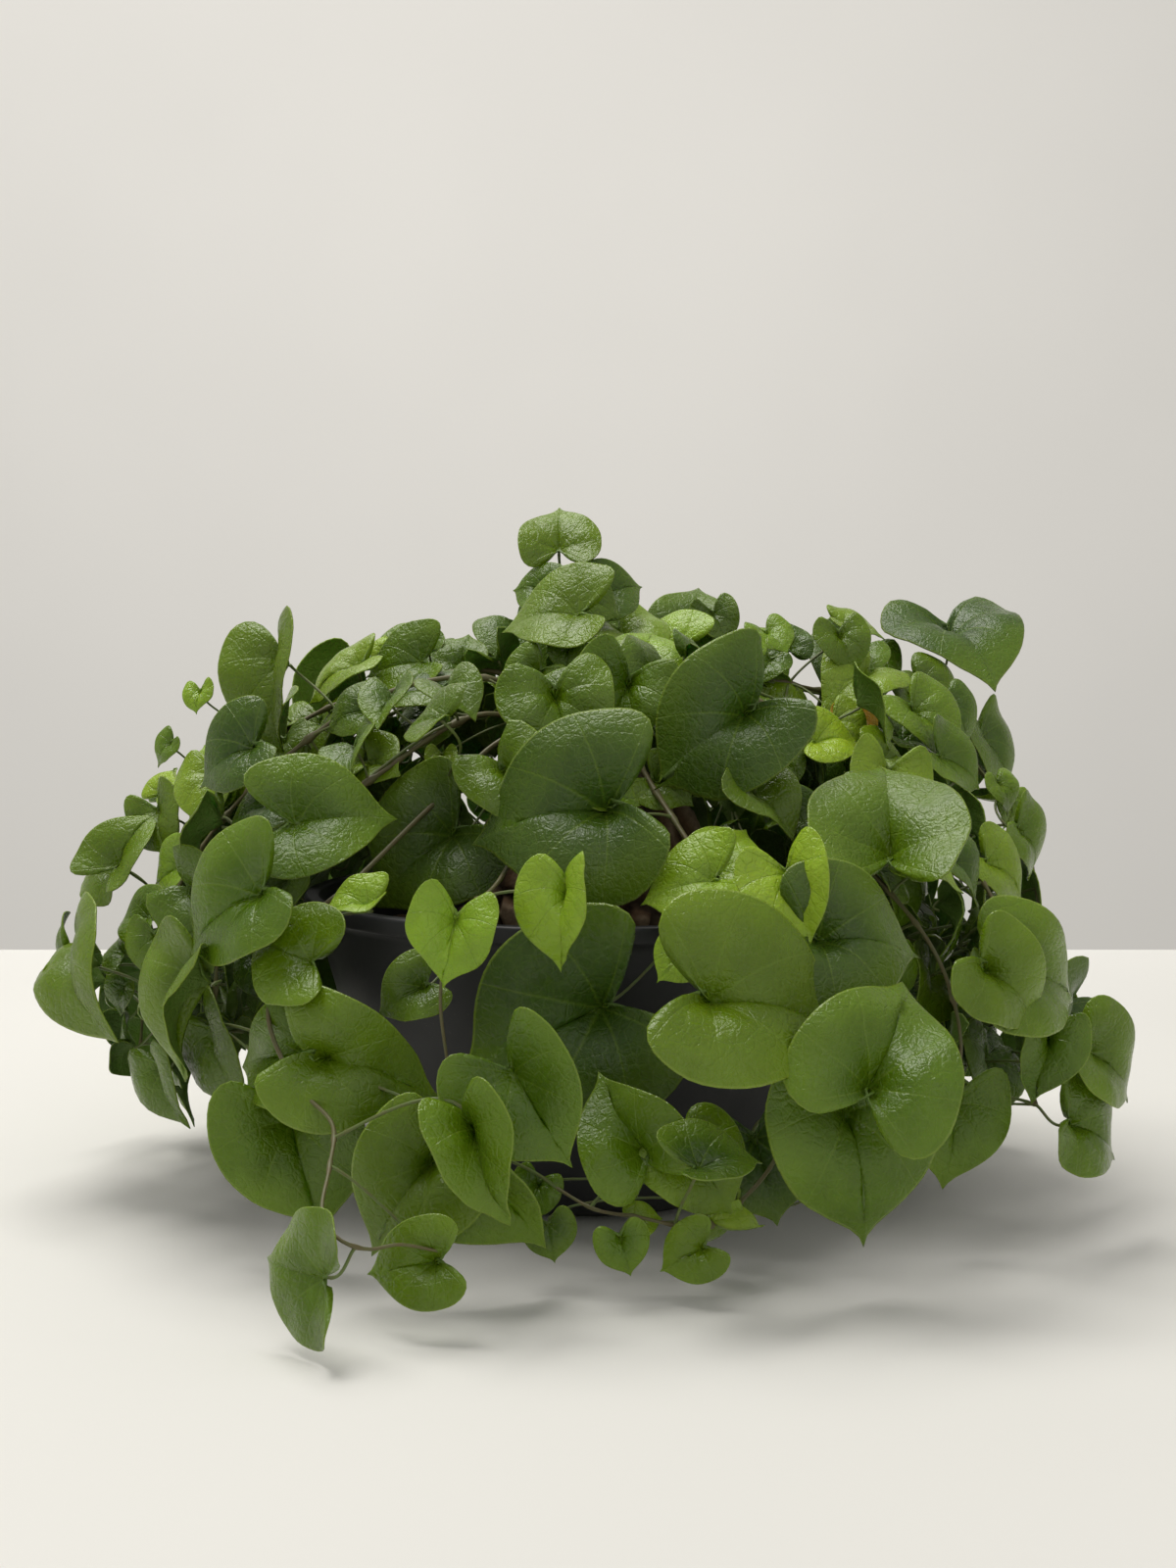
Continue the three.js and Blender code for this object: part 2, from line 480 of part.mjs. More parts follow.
// Finds the place nearest to the drawn one where a leaf touches nothing and hangs clear of the table. It is
// looked for in and out of the foliage first, then up and down, then to both sides.
function settle(row, solids) {
  const { frame, base } = leafFrame(row);
  const outward = base.clone().sub(HEART).normalize();
  const sideways = new THREE.Vector3(-outward.y, outward.x, 0).normalize();
  for (const way of [outward, new THREE.Vector3(0, 0, 1), sideways]) {
    for (let step = 0; step <= 2 * NUDGES; step += 1) {
      const shift = Math.ceil(step / 2) * NUDGE * (step % 2 ? -1 : 1);
      const place = base.clone().addScaledVector(way, shift);
      const lowest = makeBlade(row, BLADE, place, frame).boundingBox().min[2];
      place.z += Math.max(0, TABLE_CLEARANCE - lowest);
      const wide = makeBlade(row, BLADE + 2 * GAP, place, frame);
      if (!solids.some((solid) => touch(wide, solid))) return place;
    }
  }
  return null;
}

const STALK_LEANS = [20, 45, 0, 65, 80, 95]; // how far a stalk leans from behind the blade towards its notch
const STALK_DEPTH = 0.55 * BLADE; // how deep a stalk ends in a blade that it is one piece with
const NEAREST_STEM_POINTS = 50;

function stalkCurve(start, leaf, lean) {
  const arrive = leaf.normal.clone().multiplyScalar(-Math.cos(lean * DEGREE));
  arrive.addScaledVector(leaf.tip, -Math.sin(lean * DEGREE));
  const end = leaf.place.clone();
  if (leaf.own) end.addScaledVector(arrive, BLADE + 2 * GAP);
  else end.addScaledVector(leaf.normal, -STALK_DEPTH).addScaledVector(leaf.tip, 2 * STALK_DEPTH);
  const length = start.distanceTo(end);
  const leave = start.clone().lerp(end, 0.3);
  leave.z += 0.12 * length;
  const approach = end.clone().addScaledVector(arrive, 0.4 * length);
  return new THREE.CubicBezierCurve3(start, leave, approach, end);
}

// Runs a stalk from the nearest stem point that leaves it a clear way to the blade.
function growStalk(leaf, nodes, shoots, solids) {
  const back = leaf.place.clone().addScaledVector(leaf.normal, -10);
  const behind = nodes.filter(({ point }) => point.clone().sub(leaf.place).dot(leaf.normal) < -2);
  const near = behind.sort((a, b) => a.point.distanceTo(back) - b.point.distanceTo(back));
  const leans = leaf.own ? STALK_LEANS : STALK_LEANS.filter((lean) => lean <= 45);
  for (const node of near.slice(0, NEAREST_STEM_POINTS)) {
    for (const lean of leans) {
      const curve = stalkCurve(node.point, leaf, lean);
      const steps = Math.max(2, Math.round(curve.getLength() / 14));
      const wide = tube(curve, STALK_RADIUS + GAP, 3, steps);
      const blocked = solids.some((solid) => solid !== leaf.solid && touch(wide, solid));
      const crossed = Object.keys(shoots).some((group) => group !== node.group
        && shoots[group].some((piece) => touch(wide, piece)));
      const stalk = tube(curve, STALK_RADIUS, 3, steps);
      const seated = leaf.own ? !touch(stalk, leaf.solid) : stalk.add(leaf.solid).decompose().length === 1;
      const clear = !blocked && !crossed && seated && stalk.boundingBox().min[2] > GAP;
      if (clear) return { group: node.group, stalk };
    }
  }
  return null;
}

// The back of the foliage is a dome, as the front is, drawn round a pot of the drawn size.
const BACK_START = 78; // degrees from the front, where the back begins
const BACK_ARC = 204;
const GOLDEN_SHARE = 0.618; // of the arc, from one leaf to the next
const LOWEST_RISE = -28;
const HIGHEST_RISE = 72;
const DOME_REACH = 136; // from the axis of the pot out to the leaves
const DOME_MIDDLE = 62; // height where the dome is widest
const DOME_RISE = 96; // from there up to its top
const DOME_FALL = 80; // from there down to its lowest
const SMALLEST_BACK_LEAF = 19;
const LARGEST_BACK_LEAF = 44;

// Leaves round the back and inside, where the shoots carry as many as they do in front.
function backRows() {
  let seed = 11;
  const between = (low, high) => {
    seed = (seed * 1664525 + 1013904223) % 4294967296;
    return low + ((high - low) * seed) / 4294967296;
  };
  const rows = [];
  for (let i = 0; i < BACK_LEAVES; i += 1) {
    const around = BACK_START + BACK_ARC * ((i * GOLDEN_SHARE) % 1);
    const rise = between(LOWEST_RISE, HIGHEST_RISE);
    const reach = DOME_REACH * Math.cos(rise * DEGREE) + between(0, 4);
    const height = DOME_MIDDLE + (rise > 0 ? DOME_RISE : DOME_FALL) * Math.sin(rise * DEGREE);
    const x = reach * Math.sin(around * DEGREE);
    const y = -reach * Math.cos(around * DEGREE);
    const azimuth = around + between(-20, 20);
    const elevation = 15 + 0.6 * Math.max(0, rise) + between(-12.5, 12.5);
    const width = SMALLEST_BACK_LEAF + (LARGEST_BACK_LEAF - SMALLEST_BACK_LEAF) * between(0, 1) ** 1.5;
    const folds = [between(10, 30), between(10, 30), between(10, 22)];
    rows.push([x, y, height, azimuth, elevation, between(-65, 65), width, ...folds, 'M']);
  }
  return rows;
}

function growPlant(fixed) {
  const { shoots: stems, nodes } = growStems();
  const solids = [...fixed, ...Object.values(stems)];
  const leaves = [];
  const addLeaf = (name, row, own) => {
    const place = settle(row, solids);
    if (!place) {
      if (name) console.error(`no room for ${name}`);
      return;
    }
    const { frame, normal, tip } = leafFrame(row);
    const solid = makeBlade(row, BLADE, place, frame);
    solids.push(solid);
    leaves.push({ name, own, place, normal, tip, solid, age: row[10] });
  };
  for (const [group, rows] of Object.entries(LEAVES)) {
    rows.forEach((row, i) => {
      const own = group === 'low' ? row[6] > 12 : group !== 'crest' && row[6] >= OWN_NODE_WIDTH;
      addLeaf(`leaf_${group}_${String(i + 1).padStart(2, '0')}`, row, own);
    });
  }
  for (const row of backRows()) addLeaf('', row, false);
  const shoots = {};
  for (const group of Object.keys(stems)) shoots[group] = [stems[group]];
  const blades = solids.filter((solid) => !Object.values(stems).includes(solid));
  const grown = [];
  for (const leaf of leaves) {
    const found = growStalk(leaf, nodes, shoots, blades);
    if (!found) {
      console.error(`no clear way for the stalk of ${leaf.name || 'a back leaf'}`);
      if (leaf.own) grown.push(leaf);
      continue;
    }
    shoots[found.group].push(found.stalk);
    if (leaf.own) grown.push(leaf);
    else shoots[found.group].push(leaf.solid);
  }
  return { shoots, leaves: grown };
}

const plant = new THREE.Group();

function add(name, solid, colour, roughness) {
  const mesh = new THREE.Mesh(toGeometry(solid), material(colour, roughness));
  mesh.name = name;
  plant.add(mesh);
}

const pot = makePot();
const soil = makeSoil();
const caudex = makeCaudex(0);
const { shoots, leaves } = growPlant([pot, soil, caudex]);

add('pot', pot, COLOURS.pot, 0.6);
add('soil', soil, COLOURS.soil, 1);
add('caudex', caudex, COLOURS.caudex, 0.9);
for (const [group, pieces] of Object.entries(shoots)) {
  add(`shoot_${group}`, wasm.Manifold.union(pieces).simplify(SIMPLIFY), COLOURS.stem, 0.6);
}
for (const leaf of leaves) add(leaf.name, leaf.solid, COLOURS[leaf.age], 0.35);

export default plant;
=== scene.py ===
# %% [markdown]
# # A potted elephant foot plant
# A corky tuber sits half buried in a black bowl pot. Thin climbing shoots grow from its crown, arch over the
# rim and hang, and each carries heart-shaped leaves on stalks of their own. The frame that is loaded here
# holds every piece at its real size and place, and this lesson gives each one its fine surface and finish.

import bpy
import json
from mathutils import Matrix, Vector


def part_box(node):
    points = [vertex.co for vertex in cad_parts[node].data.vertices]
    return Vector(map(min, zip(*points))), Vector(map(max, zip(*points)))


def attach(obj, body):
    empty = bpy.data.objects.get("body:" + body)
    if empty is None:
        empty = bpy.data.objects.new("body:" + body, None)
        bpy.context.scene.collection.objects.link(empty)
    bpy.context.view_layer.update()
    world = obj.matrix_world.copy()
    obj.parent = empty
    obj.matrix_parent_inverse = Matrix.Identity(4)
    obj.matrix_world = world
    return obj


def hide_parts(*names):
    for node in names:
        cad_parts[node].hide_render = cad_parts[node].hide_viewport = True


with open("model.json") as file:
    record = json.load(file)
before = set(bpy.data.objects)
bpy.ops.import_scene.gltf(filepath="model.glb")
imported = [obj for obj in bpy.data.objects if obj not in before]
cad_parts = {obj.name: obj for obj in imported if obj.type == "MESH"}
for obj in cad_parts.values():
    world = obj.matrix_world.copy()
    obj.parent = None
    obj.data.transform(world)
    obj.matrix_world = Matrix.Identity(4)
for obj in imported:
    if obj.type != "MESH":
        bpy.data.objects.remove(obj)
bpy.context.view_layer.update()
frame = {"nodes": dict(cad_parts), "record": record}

import json
import math
import random

import bmesh
import bpy
import numpy as np
from mathutils import Matrix, Vector
from mathutils.bvhtree import BVHTree

MM = 0.001
print("frame of", len(frame["nodes"]), "nodes")

# %% [markdown]
# Most of the work below is done by node trees, which are built in code. Writing each node and link out in
# full would hide what a tree does, so a small helper adds a node, sets its options and wires its inputs in
# one line. A plain number goes straight into the socket, and a socket is linked to it. The steps that many
# trees share, such as a product, a bump or a stored attribute, have a name of their own.

# %% A helper that wires node trees
class Wiring:
    def __init__(self, tree):
        self.tree = tree

    def add(self, kind, inputs=None, **options):
        node = self.tree.nodes.new(kind)
        for name, value in options.items():
            setattr(node, name, value)
        self.plug(node, inputs or {})
        return node

    def plug(self, node, inputs):
        for key, value in inputs.items():
            if isinstance(value, bpy.types.NodeSocket):
                self.tree.links.new(value, node.inputs[key])
            else:
                node.inputs[key].default_value = value

    def shape(self, kind, inputs=None, **options):
        """The first output of a new geometry node."""
        return self.add("GeometryNode" + kind, inputs, **options).outputs[0]

    def shade(self, kind, inputs=None, **options):
        """The first output of a new shader node."""
        return self.add("ShaderNode" + kind, inputs, **options).outputs[0]

    def math(self, operation, *values):
        return self.shade("Math", dict(enumerate(values)), operation=operation)

    def times(self, value, factor, plus=None):
        """The value times the factor, plus a third value where one is given."""
        if plus is None:
            return self.math("MULTIPLY", value, factor)
        return self.math("MULTIPLY_ADD", value, factor, plus)

    def stretch(self, vector, factor):
        return self.shade("VectorMath", {0: vector, "Scale": factor}, operation="SCALE")

    def ramp(self, value, low, high, to_low=0.0, to_high=1.0, kind="SMOOTHSTEP"):
        """The value, carried from low..high to to_low..to_high and held there beyond."""
        inputs = {0: value, 1: low, 2: high, 3: to_low, 4: to_high}
        return self.shade("MapRange", inputs, interpolation_type=kind)

    def blend(self, share, *pair):
        """Two colours mixed, each given as a socket or as red, green and blue."""
        first, second = [(*colour, 1) if isinstance(colour, tuple) else colour for colour in pair]
        return self.add("ShaderNodeMix", {0: share, 6: first, 7: second}, data_type="RGBA").outputs[2]

    def bump(self, height, strength, depth):
        return self.shade("Bump", {"Strength": strength, "Distance": depth, "Height": height})

    def named(self, name):
        """What the geometry holds under a name."""
        return self.add("GeometryNodeInputNamedAttribute", {"Name": name}).outputs["Attribute"]

    def keep(self, geometry, name, value, domain="POINT"):
        """The geometry with a value kept on it under a name."""
        inputs = {"Geometry": geometry, "Name": name, "Value": value}
        return self.shape("StoreNamedAttribute", inputs, data_type="FLOAT", domain=domain)

    def join(self, *parts):
        together = self.add("GeometryNodeJoinGeometry")
        for part in parts:
            self.tree.links.new(part, together.inputs[0])
        return together.outputs[0]

    def deliver(self, geometry, finish):
        """Shade the geometry smooth, give it its material and pass it out of the tree."""
        for kind in ("SetShadeSmooth", "RealizeInstances"):
            geometry = self.shape(kind, {"Geometry": geometry})
        self.add("NodeGroupOutput", {
            "Geometry": self.shape("SetMaterial", {"Geometry": geometry, "Material": finish}),
        })


def geometry_tree(name, inputs):
    """A new geometry tree, its wiring and its inputs, each given by a number or by the kind of its socket."""
    tree = bpy.data.node_groups.new(name, "GeometryNodeTree")
    tree.interface.new_socket(name="Geometry", in_out="INPUT", socket_type="NodeSocketGeometry")
    for label, value in inputs.items():
        kind = {float: "Float", int: "Int"}.get(type(value), value)
        socket = tree.interface.new_socket(name=label, in_out="INPUT", socket_type="NodeSocket" + kind)
        if kind != value:
            socket.default_value = value
    tree.interface.new_socket(name="Geometry", in_out="OUTPUT", socket_type="NodeSocketGeometry")
    wire = Wiring(tree)
    return tree, wire, wire.add("NodeGroupInput").outputs


def placed(name, data):
    """A new object in the scene."""
    made = bpy.data.objects.new(name, data)
    bpy.context.scene.collection.objects.link(made)
    return made


def mesh_of(name, corners, edges, faces, **attributes):
    """A new mesh, with one number for each corner under the name of each attribute."""
    mesh = bpy.data.meshes.new(name)
    mesh.from_pydata(corners, edges, faces)
    for label, values in attributes.items():
        mesh.attributes.new(label, "FLOAT", "POINT").data.foreach_set("value", values)
    return mesh


def settled(work, name):
    """The mesh of a bmesh, which is freed."""
    mesh = bpy.data.meshes.new(name)
    work.to_mesh(mesh)
    work.free()
    return mesh


def evaluated(item):
    """The mesh that an object's modifiers make. The object itself is removed."""
    made = bpy.data.meshes.new_from_object(item.evaluated_get(bpy.context.evaluated_depsgraph_get()))
    bpy.data.objects.remove(item)
    return made


def smooth(mesh):
    mesh.polygons.foreach_set("use_smooth", [True] * len(mesh.polygons))


def grow(mesh, tree, values):
    """The plain mesh that a tree makes out of a mesh, with its named inputs set."""
    seed = placed(mesh.name, mesh)
    modifier = seed.modifiers.new(tree.name, "NODES")
    modifier.node_group = tree
    for label, value in values.items():
        modifier[tree.interface.items_tree[label].identifier] = value
    grown = evaluated(seed)
    while grown.materials and grown.materials[0] is None:
        grown.materials.pop(index=0)
    grown.polygons.foreach_set("material_index", [0] * len(grown.polygons))
    return grown


def piece(name, mesh, slot, *nodes):
    """A finished piece at the origin, which rides on the one body and stands for the named nodes."""
    made = placed(name, mesh)
    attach(made, "root")
    if nodes:
        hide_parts(*nodes)
    return made


# %% [markdown]
# ## Reading the leaves
# The frame holds every leaf as a thin faceted blade: its upper face is a fan of flat triangles that spreads
# from the point where the stalk meets it. That fan says all there is to know about the leaf, which is where
# it sits, which way it looks, how wide it is, how far its halves fold up and how far its tip curls down.

# %% Find the fans
FAN_FACES = 10
SHARP = math.radians(60)
LOBE_NEAR = (0.12, -0.15)  # two places on a half's rim, across and along the leaf, as shares of its width
LOBE_FAR = (0.5, -0.03)
TIP_ALONG = 0.7


def merged(node):
    """A copy of a node's mesh with its doubled corners joined."""
    work = bmesh.new()
    work.from_mesh(frame["nodes"][node].data)
    bmesh.ops.remove_doubles(work, verts=work.verts, dist=2e-6)
    return work


def fans(work):
    """For each blade, the hub and the rim points of its fan, from the right lobe round to the left."""
    for hub in work.verts:
        corners = [loop for face in hub.link_faces for loop in face.loops if loop.vert == hub]
        if len(corners) < FAN_FACES + 2:
            continue
        after = {loop.link_loop_next.vert: loop for loop in corners}
        sharp = [v for v, loop in after.items() if loop.edge.calc_face_angle_signed(0) > SHARP]
        for vert in sharp:
            run = [vert]
            while run[-1] in after and (len(run) == 1 or run[-1] not in sharp) and len(run) < 20:
                run.append(after[run[-1]].link_loop_prev.vert)
            if len(run) == FAN_FACES + 1:
                yield hub.co.copy(), [point.co.copy() for point in run]
                break


def half_of_blade(near, far):
    """The across and along vectors of one half, each as long as the leaf is wide."""
    along = (near * LOBE_FAR[0] - far * LOBE_NEAR[0]) / (
        LOBE_NEAR[1] * LOBE_FAR[0] - LOBE_FAR[1] * LOBE_NEAR[0]
    )
    return (far - along * LOBE_FAR[1]) / LOBE_FAR[0], along


def read_leaf(hub, rim):
    """A leaf's place, directions, width, folds and curl."""
    right, along_right = half_of_blade(rim[0] - hub, rim[2] - hub)
    left, along_left = half_of_blade(rim[10] - hub, rim[8] - hub)
    along = (along_right + along_left) / 2
    width = along.length
    tip = along.normalized()
    drop = along * TIP_ALONG - (rim[5] - hub)
    drop -= tip * drop.dot(tip)
    normal = drop.normalized()
    side = tip.cross(normal)
    return {
        "hub": hub, "tip": tip, "normal": normal, "side": side, "width": width,
        "fold_left": math.asin(max(-1, min(1, left.normalized().dot(normal)))),
        "fold_right": math.asin(max(-1, min(1, right.normalized().dot(normal)))),
        "curl": drop.length / width / TIP_ALONG**2,
    }


leaves = {}
for node in sorted(frame["nodes"]):
    if node.startswith(("leaf_", "shoot_")):
        work = merged(node)
        leaves[node] = [read_leaf(hub, rim) for hub, rim in fans(work)]
        work.free()
for node, found in leaves.items():
    if node.startswith("shoot_") or len(found) != 1:
        print(node, "holds", len(found), "leaves")

# %% [markdown]
# ## The leaf blade
# A blade of this plant is a broad heart with round lobes, an open notch at the stalk and a short drawn-out
# tip. Seven veins leave the stalk, swing outwards and bend back towards the tip. So the flat leaf is laid
# out as a fan of curved spokes that follow the veins: any finish that needs a vein can then ask how far
# round the fan a point is, and how far out it is from the stalk to the rim.

# %% A flat leaf, one unit wide
HALF_RIM = [
    (0, 0.69), (0.028, 0.645), (0.09, 0.59), (0.22, 0.515), (0.37, 0.4), (0.475, 0.24), (0.515, 0.06),
    (0.5, -0.11), (0.43, -0.235), (0.32, -0.295), (0.215, -0.27), (0.125, -0.185), (0.05, -0.075),
]
HALF_RIM_LENGTH = 1.7
FINE_SPOKES = 26  # in each half
COARSE_SPOKES = 13
VEINS_PER_HALF = 4  # the last one is the edge of the notch
FINE_REACHES = [0.07, 0.16, 0.27, 0.39, 0.51, 0.63, 0.75, 0.86, 0.94, 0.98, 1.0]
COARSE_REACHES = [0.2, 0.42, 0.64, 0.84, 0.97, 1.0]
VEIN_SWING = math.radians(17)


def smooth_route(points, step):
    """Places about `step` apart on the centripetal Catmull-Rom curve through the points, ends included."""
    points = np.array(points, float)
    ends = np.vstack([2 * points[0] - points[1], points, 2 * points[-1] - points[-2]])
    dense = [points[0]]
    for i in range(len(points) - 1):
        a, b, c, d = ends[i:i + 4]
        first, span, last = (np.linalg.norm(v) ** 0.5 for v in (b - a, c - b, d - c))
        leave = ((b - a) / first - (c - a) / (first + span) + (c - b) / span) * span
        arrive = ((c - b) / span - (d - b) / (span + last) + (d - c) / last) * span
        for t in np.linspace(0, 1, 25)[1:]:
            dense.append(
                b * (1 - 3 * t**2 + 2 * t**3) + c * (3 * t**2 - 2 * t**3)
                + leave * (t - 2 * t**2 + t**3) + arrive * (t**3 - t**2)
            )
    dense = np.array(dense)
    along = np.concatenate([[0], np.cumsum(np.linalg.norm(np.diff(dense, axis=0), axis=1))])
    count = max(2, round(along[-1] / step))
    stops = np.linspace(0, along[-1], count + 1)
    return np.array([np.interp(stops, along, dense[:, axis]) for axis in range(dense.shape[1])]).T


def flat_leaf(spokes_per_half, reaches):
    half = smooth_route(HALF_RIM, HALF_RIM_LENGTH / spokes_per_half)
    stops = len(half) - 1
    rim = [(-x, y) for x, y in half[:0:-1]] + [tuple(point) for point in half]
    spokes = [VEINS_PER_HALF * (i - stops) / stops for i in range(2 * stops + 1)]
    corners, vein, reach = [(0, 0, 0)], [0.0], [0.0]
    for (x, y), spoke in zip(rim, spokes):
        swing = VEIN_SWING * math.sin(math.pi * min(1, abs(spoke) / 3)) * (1 if spoke > 0 else -1)
        middle = Vector((x, y)) * 0.5
        middle.rotate(Matrix.Rotation(-swing, 2))
        for share in reaches:
            point = 2 * share * (1 - share) * middle + share**2 * Vector((x, y))
            corners.append((point.x, point.y, 0))
            vein.append(spoke)
            reach.append(share)
    rings = len(reaches)
    faces = []
    for i in range(len(rim) - 1):
        here, there = 1 + i * rings, 1 + (i + 1) * rings
        faces.append((0, there, here))
        faces += [(here + k, there + k, there + k + 1, here + k + 1) for k in range(rings - 1)]
    return mesh_of("flat_leaf", corners, [], faces, vein=vein, reach=reach)


fine_leaf = flat_leaf(FINE_SPOKES, FINE_REACHES)
coarse_leaf = flat_leaf(COARSE_SPOKES, COARSE_REACHES)
print("flat leaves of", len(fine_leaf.polygons), "and", len(coarse_leaf.polygons), "faces")

# %% [markdown]
# No two blades are alike, so one Geometry Nodes tree bends the flat leaf. It folds the two halves up about
# the midrib, curls the tip down, lifts the lobes, swells the skin between the veins, ruffles and dents it
# towards the rim, and gives the sheet its thickness by pushing a second skin off the first. Its sizes are
# named inputs, which every leaf sets anew.

# %% The tree that bends a leaf
MIDRIB_SOFTNESS = 0.035  # how wide the valley at the midrib is, as a share of the leaf
WAVES_PER_VEIN = 2.3  # of the ruffle, in radians
DENTS_A_LEAF = 2.6
DENT_DEPTH = 4.0  # against the ruffle


def leaf_tree():
    tree, wire, sizes = geometry_tree("bend_leaf", {
        "Width": 0.04, "Thickness": 0.00035, "Fold left": 0.2, "Fold right": 0.2, "Curl": 0.2, "Dome": 0.05,
        "Quilt": 0.015, "Ruffle": 0.015, "Lobes": 0.5, "Seed": 0.0, "Age": 0.5, "Tint": 0.0,
        "Finish": "Material",
    })
    place = wire.shape("InputPosition")
    across, along, _ = wire.add("ShaderNodeSeparateXYZ", {0: place}).outputs
    vein, reach = wire.named("vein"), wire.named("reach")

    right = wire.ramp(across, -MIDRIB_SOFTNESS, MIDRIB_SOFTNESS)
    side = wire.times(right, 2.0, -1.0)
    left_fold = wire.times(wire.math("SUBTRACT", 1.0, right), sizes["Fold left"])
    fold = wire.times(right, sizes["Fold right"], left_fold)
    softened = wire.times(across, across, MIDRIB_SOFTNESS**2)
    lift = wire.math("SUBTRACT", wire.math("SQRT", softened), MIDRIB_SOFTNESS)
    beyond = wire.math("MAXIMUM", along, 0.0)
    drop = wire.times(wire.times(beyond, beyond), sizes["Curl"])
    behind = wire.math("MINIMUM", along, 0.0)
    drop = wire.math("SUBTRACT", drop, wire.times(wire.times(behind, behind), sizes["Lobes"]))

    inner = wire.times(reach, wire.math("SUBTRACT", 1.0, reach))
    bands = wire.math("ABSOLUTE", wire.math("SINE", wire.times(vein, math.pi)))
    quilting = wire.times(wire.times(bands, sizes["Quilt"]), 4.0)
    swell = wire.times(wire.times(sizes["Dome"], 4.0, quilting), inner)
    waves = wire.math("SINE", wire.times(vein, WAVES_PER_VEIN, sizes["Seed"]))
    outer = wire.times(wire.times(reach, reach), sizes["Ruffle"])
    waving = {"Vector": place, "W": sizes["Seed"], "Scale": DENTS_A_LEAF, "Detail": 1.0}
    dents = wire.shade("TexNoise", waving, noise_dimensions="4D")
    dents = wire.times(wire.math("SUBTRACT", dents, 0.5), wire.times(sizes["Ruffle"], DENT_DEPTH))
    swell = wire.math("ADD", swell, wire.times(dents, reach))
    swell = wire.math("ADD", swell, wire.times(waves, outer))

    sine, cosine = wire.math("SINE", fold), wire.math("COSINE", fold)
    inward = wire.times(wire.times(side, sine), swell)
    x = wire.math("SUBTRACT", wire.times(across, cosine), inward)
    z = wire.math("SUBTRACT", wire.times(lift, sine, wire.times(cosine, swell)), drop)
    bent = wire.stretch(wire.shade("CombineXYZ", {0: x, 1: along, 2: z}), sizes["Width"])
    upper = wire.shape("SetPosition", {"Geometry": sizes["Geometry"], "Position": bent})

    normal = wire.shape("InputNormal")
    sunk = wire.stretch(normal, wire.times(sizes["Thickness"], -1.0))
    lower = wire.shape("SetPosition", {"Geometry": upper, "Offset": sunk})
    raising = {"Mesh": lower, "Offset Scale": sizes["Thickness"], "Individual": False}
    raised = wire.shape("ExtrudeMesh", raising, mode="FACES")
    turned = wire.keep(wire.shape("FlipFaces", {0: lower}), "underside", 1.0, "FACE")
    shell = wire.shape("MergeByDistance", {"Geometry": wire.join(raised, turned), "Distance": 1e-6})
    for name in ("Age", "Tint"):
        shell = wire.keep(shell, name.lower(), sizes[name])
    wire.deliver(shell, sizes["Finish"])
    return tree


bend_leaf = leaf_tree()
print("bend_leaf has", len(bend_leaf.nodes), "nodes")

# %% [markdown]
# ## The leaf's finish
# A young leaf is bright yellow-green, a grown one mid green, an old one dark, and a dying one yellow. All of
# them are glossy, with a fine pebbled skin that breaks the highlights into specks, pale sunken veins, a thin
# pale rim, and a duller, greyer underside. The age and a little chance come from each leaf's attributes.

# %% Leaf skin
YOUNG = (0.27, 0.42, 0.02)
GROWN = (0.078, 0.142, 0.002)
OLD = (0.038, 0.08, 0.006)
DYING = (0.62, 0.3, 0.02)
VEIN_COLOUR = (0.16, 0.25, 0.02)
RIM_COLOUR = (0.26, 0.34, 0.05)
UNDERSIDE = (0.11, 0.18, 0.045)
NET_SCALE = 330.0  # meshes of the net of small veins, to a metre
PEBBLE_SCALE = 720.0
LEAF_SHEEN = 0.38


def new_material(name):
    """A new material with its wiring and its shader node."""
    made = bpy.data.materials.new(name)
    made.use_nodes = True
    made.node_tree.nodes.clear()
    wire = Wiring(made.node_tree)
    shader = wire.add("ShaderNodeBsdfPrincipled")
    wire.add("ShaderNodeOutputMaterial", {"Surface": shader.outputs[0]})
    return made, wire, shader


def attribute(wire, name):
    return wire.add("ShaderNodeAttribute", attribute_name=name).outputs["Fac"]


def object_place(wire):
    return wire.add("ShaderNodeTexCoord").outputs["Object"]


def noise(wire, scale, detail=2.0, roughness=0.5):
    """Noise in the object's own space. Scale is in waves a metre."""
    settings = {"Vector": object_place(wire), "Scale": scale, "Detail": detail, "Roughness": roughness}
    return wire.add("ShaderNodeTexNoise", settings).outputs["Fac"]


